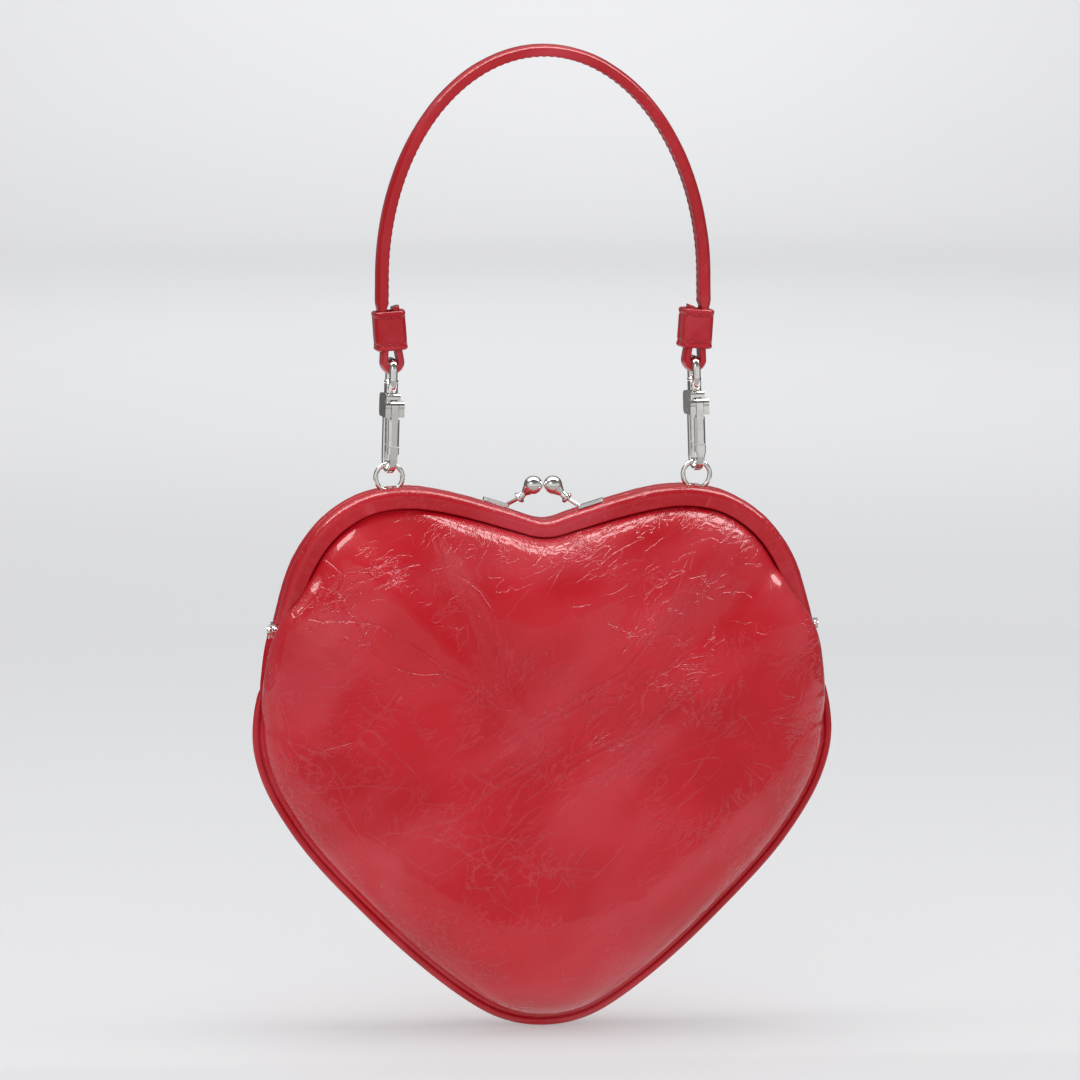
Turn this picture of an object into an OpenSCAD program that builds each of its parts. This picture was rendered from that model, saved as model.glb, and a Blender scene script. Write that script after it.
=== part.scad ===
// Heart-shaped evening purse with a covered kiss-lock frame, a hooped leather handle,
// two swivel snap hooks and two rings. Millimetres.
// The origin is under the apex of the handle, where a hand holds it.
// +X is to the right seen from the front, the front faces -Y, and +Z is up.

/* [Handle] */
// Drop from the hand grip to the tops of the frame's two lobes
handle_drop = 155.6; // [130:1:220]
// Width across the outside of the handle's arch
arch_w = 122.4; // [110:1:140]
// Height of the curved part of the arch, to its outside
arch_h = 84.6; // [60:1:90]
// Width of the handle strap, front to back
strap_w = 10; // [7:0.5:14]
// Thickness of the handle strap along the arch
strap_t = 4.4; // [3.2:0.1:5.2]
// Thickness of the strap where it is skived to pass through the clip
strap_end_t = 2.7; // [1.6:0.1:3]
// Length of the keeper sleeve that holds the folded strap
keeper_h = 14.3; // [10:0.5:20]
// Wall of the keeper sleeve
keeper_wall = 1.2; // [0.8:0.1:1.6]
// Lean of the strap ends from upright, in degrees
keeper_lean = 4; // [0:0.5:6]
// Length of strap tail that stands out above the keeper
tail_rise = 1.4; // [0.5:0.1:4]

/* [Snap hooks] */
// Wire radius of the eye that the strap folds round
eye_wire_r = 1.5; // [1:0.05:1.8]
// Height of the eye from its top bar to its base, on the wire's centre
eye_h = 9.4; // [7:0.1:12]
// Radius of the swivel's boss on the eye's base bar
barrel_r = 2.5; // [2:0.05:4]
// Length of the boss below the middle of the base bar
barrel_h = 1.7; // [1.6:0.1:4]
// Radius of the swivel's riveted head, inside the eye
swivel_head_r = 2.6; // [2:0.1:3.4]
// Radius of the swivel shank
shank_r = 1.2; // [0.9:0.05:1.6]
// Width of the yoke across the gate's barrel and cheeks
yoke_w = 7.2; // [6:0.1:12]
// Width of the yoke's core, behind the barrel
yoke_core_w = 5.4; // [4.6:0.1:8]
// Height of the yoke
yoke_h = 8.6; // [7:0.1:12]
// Radius of the gate's pin
gate_pin_r = 0.8; // [0.5:0.05:1]
// Width of the gate's blade
gate_w = 4; // [3.2:0.1:6]
// Thickness of the gate's blade
gate_t = 1.5; // [1:0.1:2]
// Length of the gate's blade
gate_h = 9.8; // [7:0.1:14]
// Thickness of the bar at the bottom of the hook
hook_bar_t = 2; // [1.6:0.1:2.6]
// Radius of the hook's bend, on the bar's centre
hook_bend_r = 4.25; // [4:0.05:6]
// Width of the hook's spine and bar
spine_w = 3; // [2.6:0.1:4]
// Width of the hook's nose
nose_w = 4; // [3:0.1:5]
// Thickness of the hook's spine and nose
spine_t = 2.1; // [1.6:0.1:2.6]
// Lean of each chain of eye, hook and ring from upright, in degrees
chain_lean = 1.6; // [0:0.1:5]
// Turn of the hooks on their swivels as they hang, in degrees
hook_turn = 12; // [-15:1:15]

/* [Rings] */
// Distance of each ring from the middle of the frame
ring_x = 56.2; // [40:1:64]
// Radius of each ring on the wire's centre
ring_r = 4.9; // [4.5:0.05:6]
// Wire radius of the rings
ring_wire_r = 0.87; // [0.6:0.01:0.95]
// Depth of the lug's bore below the top of the frame
ring_sink = 1.2; // [1:0.1:2.4]
// Width of the lug that holds each ring
lug_w = 1.6; // [1.2:0.1:2.4]
// Wall of the lug round its bore
lug_wall = 0.75; // [0.6:0.05:0.85]

/* [Frame] */
// Rise of the frame from its hinges to the tops of its lobes
frame_rise = 52.6; // [44:1:60]
// Depth of each frame half, front to back
frame_depth = 9; // [8.5:0.1:11]
// Height of the frame's face at the lobes
frame_face = 7.3; // [6.5:0.1:10]
// Height of the rounded edge of the frame
frame_round = 3.5; // [2.6:0.1:4.5]
// Thickness of the leather over the frame
cover_t = 1; // [0.6:0.1:1.2]
// Thickness of the metal channel
channel_t = 1; // [0.6:0.1:1.2]
// Radius of the hinge pins
hinge_pin_r = 1.2; // [0.8:0.05:1.5]
// Thickness of each hinge ear
ear_t = 0.8; // [0.8:0.1:1.3]
// Metal round each hinge bore
ear_wall = 1.4; // [1:0.1:1.5]

/* [Clasp] */
// Radius of the two clasp balls
ball_r = 3.45; // [2.5:0.05:5]
// Height of the balls' middle above the notch of the frame
ball_rise = 12; // [10:0.1:14]
// Radius of the clasp stems
stem_r = 0.72; // [0.5:0.02:1]
// Radius of the collar under each ball
collar_r = 2.2; // [1.4:0.1:3]
// Distance from the middle to the near end of each clasp foot
foot_start_x = 13; // [11:0.1:16]
// Length of each clasp foot along the frame
foot_len = 7.2; // [6:0.1:16]

/* [Bag] */
// Width of the bag across its piping
body_w = 212.4; // [190:1:230]
// Drop from the hinges to the tip of the heart
body_drop = 145.3; // [125:1:170]
// Depth of the filled bag, front to back
belly_depth = 64; // [48:1:80]
// Thickness of the leather panels
panel_t = 1.2; // [0.8:0.1:1.3]
// Thickness of the lining
lining_t = 0.6; // [0.3:0.1:0.8]
// Radius of the piping cord
piping_r = 1.5; // [1:0.1:2.2]
// Thickness of the side gussets
gusset_t = 1; // [0.6:0.1:1.2]

/* [Hidden] */

// Overrun of a cutting shape past the face that it cuts
over = 1;
// Running clearance round pins, on the radius
fit = 0.05;
// Least gap between neighbouring pieces
gap = 0.3;
// Glue line between the metal channel and its cover
glue = 0.1;
left = -1;
right = 1;

// Heart outline from the notch to the hinge. The first share is of half the width of the
// bag, the second of the frame's rise.
upper_shares = [
    [0, 0.768], [0.1, 0.826], [0.24, 0.914], [0.38, 0.984], [0.5, 1], [0.62, 0.955],
    [0.72, 0.845], [0.8, 0.69], [0.865, 0.475], [0.9, 0.26], [0.924, 0.07]
];
// Heart outline from the hinge to the tip. The first share is of half the width of the
// bag, the second of the drop from the hinges to the tip.
lower_shares = [
    [0.95, 0.04], [0.97, 0.12], [0.995, 0.205], [0.998, 0.29], [0.965, 0.38], [0.9, 0.47],
    [0.8, 0.572], [0.66, 0.682], [0.48, 0.81], [0.3, 0.917], [0.15, 0.981], [0, 1]
];
half_w = body_w / 2;
frame_top_z = -handle_drop;
hinge_z = frame_top_z - frame_rise;
right_outline = concat(
    [for (p = upper_shares) [p.x * half_w, hinge_z + p.y * frame_rise]],
    [for (p = lower_shares) [p.x * half_w, hinge_z - p.y * body_drop]]
);
tip_at = len(right_outline) - 1;
outline = concat(
    right_outline,
    [for (k = [tip_at - 1:-1:1]) [-right_outline[k].x, right_outline[k].y]]
);
stations = len(outline);
// Places along the outline, counted in its points from the notch
frame_end_at = len(upper_shares) - 1;
gusset_end_at = frame_end_at + 2;
// Step along the outline over which its direction is taken
nudge = 0.05;

// Point of the outline at any place, on a smooth curve through its points
function wrapped(k) = outline[((k % stations) + stations) % stations];
function outline_at(t) =
    let (k = floor(t), f = t - k)
    let (a = wrapped(k - 1), b = wrapped(k), c = wrapped(k + 1), d = wrapped(k + 2))
    (2 * b + (c - a) * f + (2 * a - 5 * b + 4 * c - d) * f * f
        + (3 * b - a - 3 * c + d) * f * f * f) / 2;
function unit(v) = v / norm(v);
// Inward direction at a place, square to the outline
function inward_at(t) =
    let (v = unit(outline_at(t + nudge) - outline_at(t - nudge)))
    [v.y, -v.x];
// Point at a distance inside the outline
function inside(t, inset) = outline_at(t) + inset * inward_at(t);
// Place folded to the right half, so that both halves are alike
function folded(t) = let (w = ((t % stations) + stations) % stations) min(w, stations - w);

// Height of the frame's top edge at a distance from the middle
top_table = [for (k = [0:frame_end_at]) right_outline[k]];
function frame_top_at(x) = lookup(abs(x), top_table);

// One closed solid through rings of points, each ring with the same number of points
module loft(rings) {
    n = len(rings[0]);
    m = len(rings);
    sides = [
        for (i = [0:m - 2])
            for (j = [0:n - 1])
                let (a = i * n + j, b = i * n + (j + 1) % n)
                each [[a, b, a + n], [b, b + n, a + n]]
    ];
    // Each cap is a strip between points on the two sides, so a section may be a channel
    cap = [
        for (j = [0:ceil(n / 2) - 2])
            each concat(
                [[j, j + 1, n - 1 - j]],
                j + 1 < n - 2 - j ? [[j + 1, n - 2 - j, n - 1 - j]] : []
            )
    ];
    polyhedron(
        points = [for (ring = rings) each ring],
        faces = concat(
            sides,
            [for (f = cap) [f[2], f[1], f[0]]],
            [for (f = cap) [for (v = f) (m - 1) * n + v]]
        ),
        convexity = 8
    );
}

// Rectangle with round corners, made of true arcs
module rounded_rect(w, d, r) {
    square([w - 2 * r, d], center = true);
    square([w, d - 2 * r], center = true);
    for (sx = [-1, 1])
        for (sy = [-1, 1])
            translate([sx * (w / 2 - r), sy * (d / 2 - r)])
                circle(r, $fn = 32);
}

// Round rod between two points
module rod(a, b, r) {
    v = b - a;
    translate(a)
        rotate([0, acos(v.z / norm(v)), atan2(v.y, v.x)])
            cylinder(h = norm(v), r = r, $fn = 32);
}

// Chain of ring, hook and eye. Its own frame starts at the middle of the ring's top wire
// and climbs towards the eye.
link_gap = 0.6;
bar_z = -(ring_wire_r + hook_bar_t / 2 + link_gap);
bend_z = bar_z + hook_bend_r;
bend_y = -0.1 * hook_bar_t;
spine_y = bend_y + hook_bend_r;
nose_y = bend_y - hook_bend_r;
nose_h = 4.5;
nose_top_z = bend_z + nose_h;
gate_end_z = nose_top_z + gap + fit;
gate_top_z = gate_end_z + gate_h;
shoulder_h = 0.8;
yoke_z = gate_top_z + shoulder_h;
yoke_top_z = yoke_z + yoke_h;
barrel_z = yoke_top_z + 4 * fit;
eye_base_z = barrel_z + barrel_h;
barrel_top_z = eye_base_z + eye_wire_r + fit;
eye_z = eye_base_z + eye_h;
leg_y = strap_w / 2 + gap + eye_wire_r;
eye_bend_r = 2 * eye_wire_r;

// Gate pivot, slot and hub, in the chain's frame
gate_front_y = nose_y - spine_t / 2;
hub_wall = 1.2;
hub_r = gate_pin_r + hub_wall;
pivot_y = gate_front_y + hub_r;
pivot_z = yoke_z + yoke_h * 0.45;
slot_w = 3;
neck_w = slot_w - gap;
slot_back_y = spine_y - spine_t / 2 - gap;
cheek_setback = 0.15;
core_setback = 0.2;
swivel_head_h = 1.9;
spring_wire_r = 0.16;
spring_w = 1.5;
spring_r = gate_pin_r + spring_wire_r + gap;
spring_turns = 2;

// Ring and lug places
ring_seat_z = frame_top_at(ring_x) - ring_sink;
ring_top_z = ring_seat_z + 2 * ring_r;
lug_bore_r = ring_wire_r + 4 * fit;
lug_r = lug_bore_r + lug_wall;
pocket_w = 2 * (ring_r + ring_wire_r + gap);
lug_foot_h = 2;
pocket_z = ring_seat_z - lug_bore_r - lug_foot_h - gap;
back_pocket_y = gap / 2 + cover_t + glue;
front_pocket_y = max(lug_r + gap, back_pocket_y + channel_t + fit);

// Strap ends, in the plane of the handle, for the right side
loop_x = ring_x - eye_z * sin(chain_lean);
loop_z = ring_top_z + eye_z * cos(chain_lean);
loop_r = eye_wire_r + gap + strap_end_t / 2;
loop_at = [loop_x, loop_z];
lean_up = [sin(keeper_lean), cos(keeper_lean)];
lean_out = [cos(keeper_lean), -sin(keeper_lean)];
keeper_gap = 0.4;
keeper_z = loop_r + (strap_end_t - gap) / 2;
keeper_at = loop_at + (keeper_z + keeper_h / 2) * lean_up;
keeper_pinch = 0.5;
layer_off = loop_r - keeper_pinch;
keeper_in_w = 2 * (layer_off + strap_end_t / 2 + keeper_gap);
keeper_in_d = strap_w + 2 * gap;
arch_x = (arch_w - strap_t) / 2;
arch_rise = arch_h - strap_t / 2;
arch_z = strap_t - arch_h;
arch_steps = 13;
loop_steps = 6;

// Clasp places. The balls meet at the middle of the frame.
ball_x = ball_r + gap / 2;
ball_z = frame_top_at(0) + ball_rise;
foot_t = 1.2;
foot_w = 2.6;

// Frame channel, hinge and tuck places
frame_out_y = gap / 2 + frame_depth;
bead_y = gap / 2 + frame_depth / 2;
notch_face_share = 0.85;
channel_in = cover_t + glue;
channel_out_y = frame_out_y - channel_in;
ear_r = hinge_pin_r + ear_wall;
shelf_drop = 0.5;
shelf_z = outline_at(frame_end_at).y - shelf_drop;
shelf_t = 0.8;
shelf_inner_y = bead_y - 0.17 * frame_depth;
shelf_outer_y = bead_y + 0.17 * frame_depth;
web_x = outline_at(frame_end_at).x - channel_in;
back_ear_x = outline_at(frame_end_at).x + glue;
front_ear_x = back_ear_x + ear_t + gap;
head_t = 0.6;
head_lip = 0.7;
head_r = hinge_pin_r + head_lip;

// Panel and lining rims
tuck_gap = 0.6;
panel_rim_y = channel_out_y - channel_t - tuck_gap;
panel_tuck = 5;
lining_tuck = 5.6;
lining_rim_y = panel_rim_y - panel_t - tuck_gap;
seam_y = panel_t + 2 * gap;
lining_seam_y = lining_t + gap;
seam_inset = 2 * (piping_r + glue);
seam_w = 0.8;
hinge_inset = seam_inset + gusset_t;
lining_back = 3;
belly_y = belly_depth / 2;
belly_z = hinge_z - 0.33 * body_drop;
belly_middle = [0, belly_z];
panel_ring_shares = [0.08, 0.25, 0.45, 0.63, 0.78, 0.89, 0.96, 0.99, 1];
lining_ring_shares = [0.08, 0.35, 0.6, 0.8, 0.93, 1];

// Handle strap
strap_section_shares = [
    [-0.5, -0.2], [-0.44, -0.5], [0.44, -0.5], [0.5, -0.2], [0.46, 0.16], [0.28, 0.42],
    [0, 0.5], [-0.28, 0.42], [-0.46, 0.16]
];

// Right half of the strap from its apex to its free end: place and thickness
function strap_half() =
    let (top_out = keeper_at + keeper_h / 2 * lean_up + layer_off * lean_out)
    let (bottom_out = keeper_at - keeper_h / 2 * lean_up + layer_off * lean_out)
    let (bottom_in = keeper_at - keeper_h / 2 * lean_up - layer_off * lean_out)
    let (top_in = keeper_at + (keeper_h / 2 + tail_rise) * lean_up - layer_off * lean_out)
    let (arch_end = [arch_x, arch_z])
    concat(
        [
            for (i = [0:arch_steps])
                let (a = 90 - 90 * i / arch_steps)
                [arch_x * cos(a), arch_z + arch_rise * sin(a), strap_t]
        ],
        [concat((arch_end + top_out) / 2, [(strap_t + strap_end_t) / 2])],
        [concat(top_out, [strap_end_t]), concat(bottom_out, [strap_end_t])],
        [
            for (i = [0:loop_steps])
                let (a = 180 * i / loop_steps)
                let (p = loop_at + loop_r * (cos(a) * lean_out - sin(a) * lean_up))
                concat(p, [strap_end_t])
        ],
        [concat(bottom_in, [strap_end_t]), concat(top_in, [strap_end_t])]
    );

module handle_strap() {
    half = strap_half();
    path = concat(
        [for (i = [len(half) - 1:-1:1]) [-half[i].x, half[i].y, half[i].z]],
        half
    );
    last = len(path) - 1;
    rings = [
        for (i = [0:last])
            let (a = path[max(i - 1, 0)], b = path[min(i + 1, last)])
            let (v = unit([b.x - a.x, b.y - a.y]))
            [
                for (s = strap_section_shares)
                    let (n = s.y * path[i].z)
                    [path[i].x - v.y * n, s.x * strap_w, path[i].y + v.x * n]
            ]
    ];
    color("crimson") loft(rings);
}

module keeper(side) {
    color("firebrick")
        translate([side * keeper_at.x, 0, keeper_at.y])
            rotate([0, side * keeper_lean, 0])
                linear_extrude(keeper_h, center = true)
                    difference() {
                        rounded_rect(
                            keeper_in_w + 2 * keeper_wall,
                            keeper_in_d + 2 * keeper_wall,
                            keeper_in_w * 0.22 + keeper_wall
                        );
                        rounded_rect(keeper_in_w, keeper_in_d, keeper_in_w * 0.22);
                    }
}

// Places its children in the frame of one chain
module on_chain(side) {
    translate([side * ring_x, 0, ring_top_z])
        rotate([0, -side * chain_lean, 0])
            children();
}

module snap_eye(side) {
    color("silver") on_chain(side) {
        for (sy = [-1, 1]) {
            translate([0, sy * leg_y, eye_base_z + eye_bend_r])
                cylinder(h = eye_h - 2 * eye_bend_r, r = eye_wire_r, $fn = 32);
            for (sz = [-1, 1])
                translate([0, sy * (leg_y - eye_bend_r), eye_base_z + eye_h / 2])
                    translate([0, 0, sz * (eye_h / 2 - eye_bend_r)])
                        rotate([90, 0, 90])
                            rotate([0, 0, sz > 0 ? 45 - 45 * sy : 225 + 45 * sy])
                                rotate_extrude(angle = 90, $fn = 48)
                                    translate([eye_bend_r, 0])
                                        circle(eye_wire_r, $fn = 32);
        }
        translate([0, -(leg_y - eye_bend_r), eye_z])
            rotate([-90, 0, 0])
                cylinder(h = 2 * (leg_y - eye_bend_r), r = eye_wire_r, $fn = 32);
        difference() {
            union() {
                translate([0, -(leg_y - eye_bend_r), eye_base_z])
                    rotate([-90, 0, 0])
                        cylinder(h = 2 * (leg_y - eye_bend_r), r = eye_wire_r, $fn = 32);
                translate([0, 0, barrel_z])
                    cylinder(h = barrel_top_z - barrel_z, r = barrel_r, $fn = 48);
            }
            translate([0, 0, barrel_z - over])
                cylinder(h = barrel_top_z - barrel_z + 2 * over, r = shank_r + fit, $fn = 48);
        }
    }
}

// Rectangle with cut corners, as a ring of points at some height
function cut_rect(w, d, cut, z) = [
    [-w / 2, cut - d / 2, z], [-w / 2, d / 2 - cut, z], [cut - w / 2, d / 2, z],
    [w / 2 - cut, d / 2, z], [w / 2, d / 2 - cut, z], [w / 2, cut - d / 2, z],
    [w / 2 - cut, -d / 2, z], [cut - w / 2, -d / 2, z]
];

// Shank of the swivel, with its head riveted over the eye's boss
module hook_swivel() {
    head_z = barrel_top_z + fit;
    translate([0, 0, yoke_top_z - over])
        cylinder(h = head_z - yoke_top_z + 2 * over, r = shank_r, $fn = 48);
    translate([0, 0, head_z])
        rotate_extrude($fn = 64)
            polygon([
                [0, 0], [swivel_head_r * 0.88, 0],
                [swivel_head_r, swivel_head_h * 0.25], [swivel_head_r, swivel_head_h * 0.5],
                [swivel_head_r * 0.8, swivel_head_h * 0.85],
                [swivel_head_r * 0.45, swivel_head_h], [0, swivel_head_h]
            ]);
}

// Yoke: a core on the spine, with a barrel and two cheeks for the gate across its front
module hook_yoke() {
    core_front_y = pivot_y + core_setback;
    core_d = spine_y + spine_t / 2 - core_front_y;
    difference() {
        union() {
            translate([-yoke_core_w / 2, core_front_y + core_d / 2, yoke_z + yoke_h / 2])
                rotate([90, 0, 90])
                    linear_extrude(yoke_core_w)
                        rounded_rect(core_d, yoke_h, yoke_h * 0.2);
            translate([-yoke_w / 2, pivot_y, pivot_z])
                rotate([0, 90, 0])
                    cylinder(h = yoke_w, r = hub_r + fit, $fn = 48);
            translate([-yoke_w / 2, gate_front_y + cheek_setback, yoke_z])
                cube([yoke_w, 2 * hub_r - cheek_setback, pivot_z - yoke_z]);
        }
        translate([-slot_w / 2, gate_front_y - over, yoke_z - over])
            cube([slot_w, slot_back_y - gate_front_y + over, pivot_z + hub_r + gap - yoke_z + over]);
        translate([-yoke_w / 2 - over, pivot_y, pivot_z])
            rotate([0, 90, 0])
                cylinder(h = yoke_w + 2 * over, r = gate_pin_r + fit, $fn = 48);
    }
}

// Nose that the gate closes against, broader at its top
module hook_nose() {
    cut = spine_t * 0.25;
    translate([0, nose_y, bend_z])
        loft([
            cut_rect(spine_w, spine_t, cut, 0), cut_rect(nose_w, spine_t, cut, nose_h * 0.45),
            cut_rect(nose_w, spine_t, cut, nose_h)
        ]);
}

// Spring snap hook without its gate
module snap_hook(side) {
    color("silver") on_chain(side) rotate([0, 0, hook_turn]) {
        hook_swivel();
        hook_yoke();
        hook_nose();
        translate([0, spine_y, bend_z])
            linear_extrude(yoke_z + over - bend_z)
                rounded_rect(spine_w, spine_t, spine_t * 0.35);
        translate([0, bend_y, bend_z])
            rotate([90, 0, 90])
                rotate([0, 0, 180])
                    rotate_extrude(angle = 180, $fn = 96)
                        translate([hook_bend_r, 0])
                            rounded_rect(hook_bar_t, spine_w, hook_bar_t * 0.45);
    }
}

// Sprung gate: two hub cheeks on the pin, a neck and a bevelled blade
module snap_gate(side) {
    color("gainsboro") on_chain(side) rotate([0, 0, hook_turn])
        difference() {
            union() {
                translate([-neck_w / 2, pivot_y, pivot_z])
                    rotate([0, 90, 0])
                        cylinder(h = neck_w, r = hub_r, $fn = 48);
                translate([-neck_w / 2, gate_front_y, gate_top_z - over])
                    cube([neck_w, gate_t, pivot_z - gate_top_z + over]);
                translate([0, gate_front_y, gate_end_z])
                    linear_extrude(gate_h)
                        polygon([
                            [-gate_w / 2, gate_t], [-gate_w / 2, gate_t * 0.45],
                            [-gate_w * 0.28, 0], [gate_w * 0.28, 0],
                            [gate_w / 2, gate_t * 0.45], [gate_w / 2, gate_t]
                        ]);
            }
            translate([-neck_w / 2 - over, pivot_y, pivot_z])
                rotate([0, 90, 0])
                    cylinder(h = neck_w + 2 * over, r = gate_pin_r + fit, $fn = 48);
            translate([-spring_w / 2, pivot_y, pivot_z])
                rotate([0, 90, 0])
                    cylinder(h = spring_w, r = spring_r + 2 * spring_wire_r, $fn = 48);
            translate([-spring_w / 2, pivot_y, pivot_z - hub_r - over])
                cube([spring_w, hub_r + over, 2 * (hub_r + over)]);
        }
}

module gate_pin(side) {
    color("silver") on_chain(side) rotate([0, 0, hook_turn])
        translate([-yoke_w / 2, pivot_y, pivot_z])
            rotate([0, 90, 0])
                cylinder(h = yoke_w, r = gate_pin_r, $fn = 48);
}

// Torsion spring round the gate's pin, with one leg against the back of the slot
module gate_spring(side) {
    steps = 12;
    pitch = (spring_w - 3 * spring_wire_r) / spring_turns;
    leg = slot_back_y - pivot_y - spring_wire_r - fit;
    coil = [
        for (i = [0:steps * spring_turns])
            let (a = 90 + 360 * i / steps)
            [pitch * (i / steps - spring_turns / 2), a, 0]
    ];
    path = concat(coil, [[pitch * spring_turns / 2, coil[len(coil) - 1][1], leg]]);
    rings = [
        for (p = path)
            [
                for (j = [0:5])
                    let (r = spring_r + spring_wire_r * cos(60 * j))
                    [p.x + spring_wire_r * sin(60 * j), r * cos(p.y) + p.z, r * sin(p.y)]
            ]
    ];
    color("dimgray") on_chain(side) rotate([0, 0, hook_turn])
        translate([0, pivot_y, pivot_z])
            mirror([0, 0, 1])
                loft(rings);
}

module ring(side) {
    color("silver")
        translate([side * ring_x, 0, ring_seat_z + ring_r])
            rotate([90, 0, 0])
                rotate_extrude($fn = 96)
                    translate([ring_r, 0])
                        circle(ring_wire_r, $fn = 32);
}

// Lug soldered to the back channel, with the bore that the ring hangs in
module ring_lug(side) {
    plate_y = gap / 2 + cover_t;
    color("silver")
        translate([side * ring_x, 0, ring_seat_z])
            difference() {
                union() {
                    translate([-lug_w / 2, 0, 0])
                        rotate([0, 90, 0])
                            intersection() {
                                cylinder(h = lug_w, r = lug_r, $fn = 48);
                                translate([-lug_r, -lug_r, 0])
                                    cube([2 * lug_r, lug_r + plate_y, lug_w]);
                            }
                    translate([-lug_w * 1.5, plate_y * 0.4, -lug_bore_r - lug_foot_h])
                        cube([3 * lug_w, plate_y * 0.6, lug_foot_h]);
                }
                translate([-lug_w * 1.5 - over, 0, 0])
                    rotate([0, 90, 0])
                        cylinder(h = 3 * lug_w + 2 * over, r = lug_bore_r, $fn = 48);
            }
}

// Half section of the frame: an arched edge with two straight walls, as depth from the
// outer edge and place across, drawn in from the leather's outside by some distance
function arch_section(inset, face, step) =
    let (h = frame_depth / 2 - inset)
    concat(
        [[face, -h]],
        [
            for (a = [0:step:180])
                [frame_round - (frame_round - inset) * sin(a), -h * cos(a)]
        ],
        [[face, h]]
    );

function face_at(t) =
    frame_face * (notch_face_share + (1 - notch_face_share) * min(1, folded(t) / 3));

// Solid swept along the frame from one hinge to the other
module frame_sweep(front, out_inset, in_inset, short, step) {
    n = 2 * frame_end_at;
    rings = [
        for (i = [-n:n])
            let (t = i * frame_end_at / n)
            let (face = face_at(t) - short)
            let (inner = arch_section(in_inset, face, step))
            let (section = concat(
                arch_section(out_inset, face, step),
                [for (j = [len(inner) - 1:-1:0]) inner[j]]
            ))
            [
                for (s = section)
                    let (p = inside(t, s.x))
                    [p.x, bead_y + s.y, p.y]
            ]
    ];
    mirror([0, front ? 1 : 0, 0]) loft(rings);
}

// Room for the ring and its lug between the frame halves
module ring_pockets(depth) {
    for (side = [left, right])
        translate([side * ring_x - pocket_w / 2, -depth, pocket_z])
            cube([pocket_w, 2 * depth, frame_top_z + over - pocket_z]);
}

module frame_cover(front) {
    color(front ? "crimson" : "firebrick")
        difference() {
            frame_sweep(front, 0, cover_t, 0, 36);
            ring_pockets(front ? front_pocket_y : back_pocket_y);
        }
}

// Hinge ear of one side: a shelf under the channel's end and a bored plate
module hinge_ear(side, front) {
    ear_x = front ? front_ear_x : back_ear_x;
    shelf_w = shelf_outer_y - shelf_inner_y;
    mirror([side == left ? 1 : 0, 0, 0])
        mirror([0, front ? 1 : 0, 0])
            difference() {
                union() {
                    translate([web_x - 1.5 * channel_t, shelf_inner_y, shelf_z - shelf_t])
                        cube([ear_x + ear_t - web_x + 1.5 * channel_t, shelf_w, shelf_t]);
                    translate([web_x - 1.5 * channel_t, shelf_inner_y, shelf_z - shelf_t])
                        cube([channel_t, shelf_w, shelf_t + over]);
                    translate([ear_x, 0, 0])
                        rotate([90, 0, 90])
                            linear_extrude(ear_t) {
                                translate([0, hinge_z])
                                    circle(ear_r, $fn = 48);
                                polygon([
                                    [shelf_inner_y, shelf_z], [shelf_outer_y, shelf_z],
                                    [shelf_outer_y, shelf_z - shelf_t],
                                    [ear_r * 0.6, hinge_z - ear_r * 0.8],
                                    [-ear_r * 0.6, hinge_z + ear_r * 0.8]
                                ]);
                            }
                }
                translate([ear_x - over, 0, hinge_z])
                    rotate([0, 90, 0])
                        cylinder(h = ear_t + 2 * over, r = hinge_pin_r + fit, $fn = 48);
            }
}

module frame_channel(front) {
    color("silver") {
        difference() {
            frame_sweep(front, channel_in, channel_in + channel_t, glue * 4, 60);
            if (front)
                ring_pockets(front_pocket_y);
        }
        for (side = [left, right])
            hinge_ear(side, front);
    }
}

module hinge_pin(side) {
    inner_x = back_ear_x - 0.1;
    outer_x = front_ear_x + ear_t + gap / 2;
    color("silver")
        mirror([side == left ? 1 : 0, 0, 0])
            translate([inner_x - head_t, 0, hinge_z])
                rotate([0, 90, 0]) {
                    cylinder(h = head_t, r = head_r, $fn = 48);
                    cylinder(h = outer_x - inner_x + 2 * head_t, r = hinge_pin_r, $fn = 48);
                    translate([0, 0, outer_x - inner_x + head_t])
                        cylinder(h = head_t, r = head_r, $fn = 48);
                }
}

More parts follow.
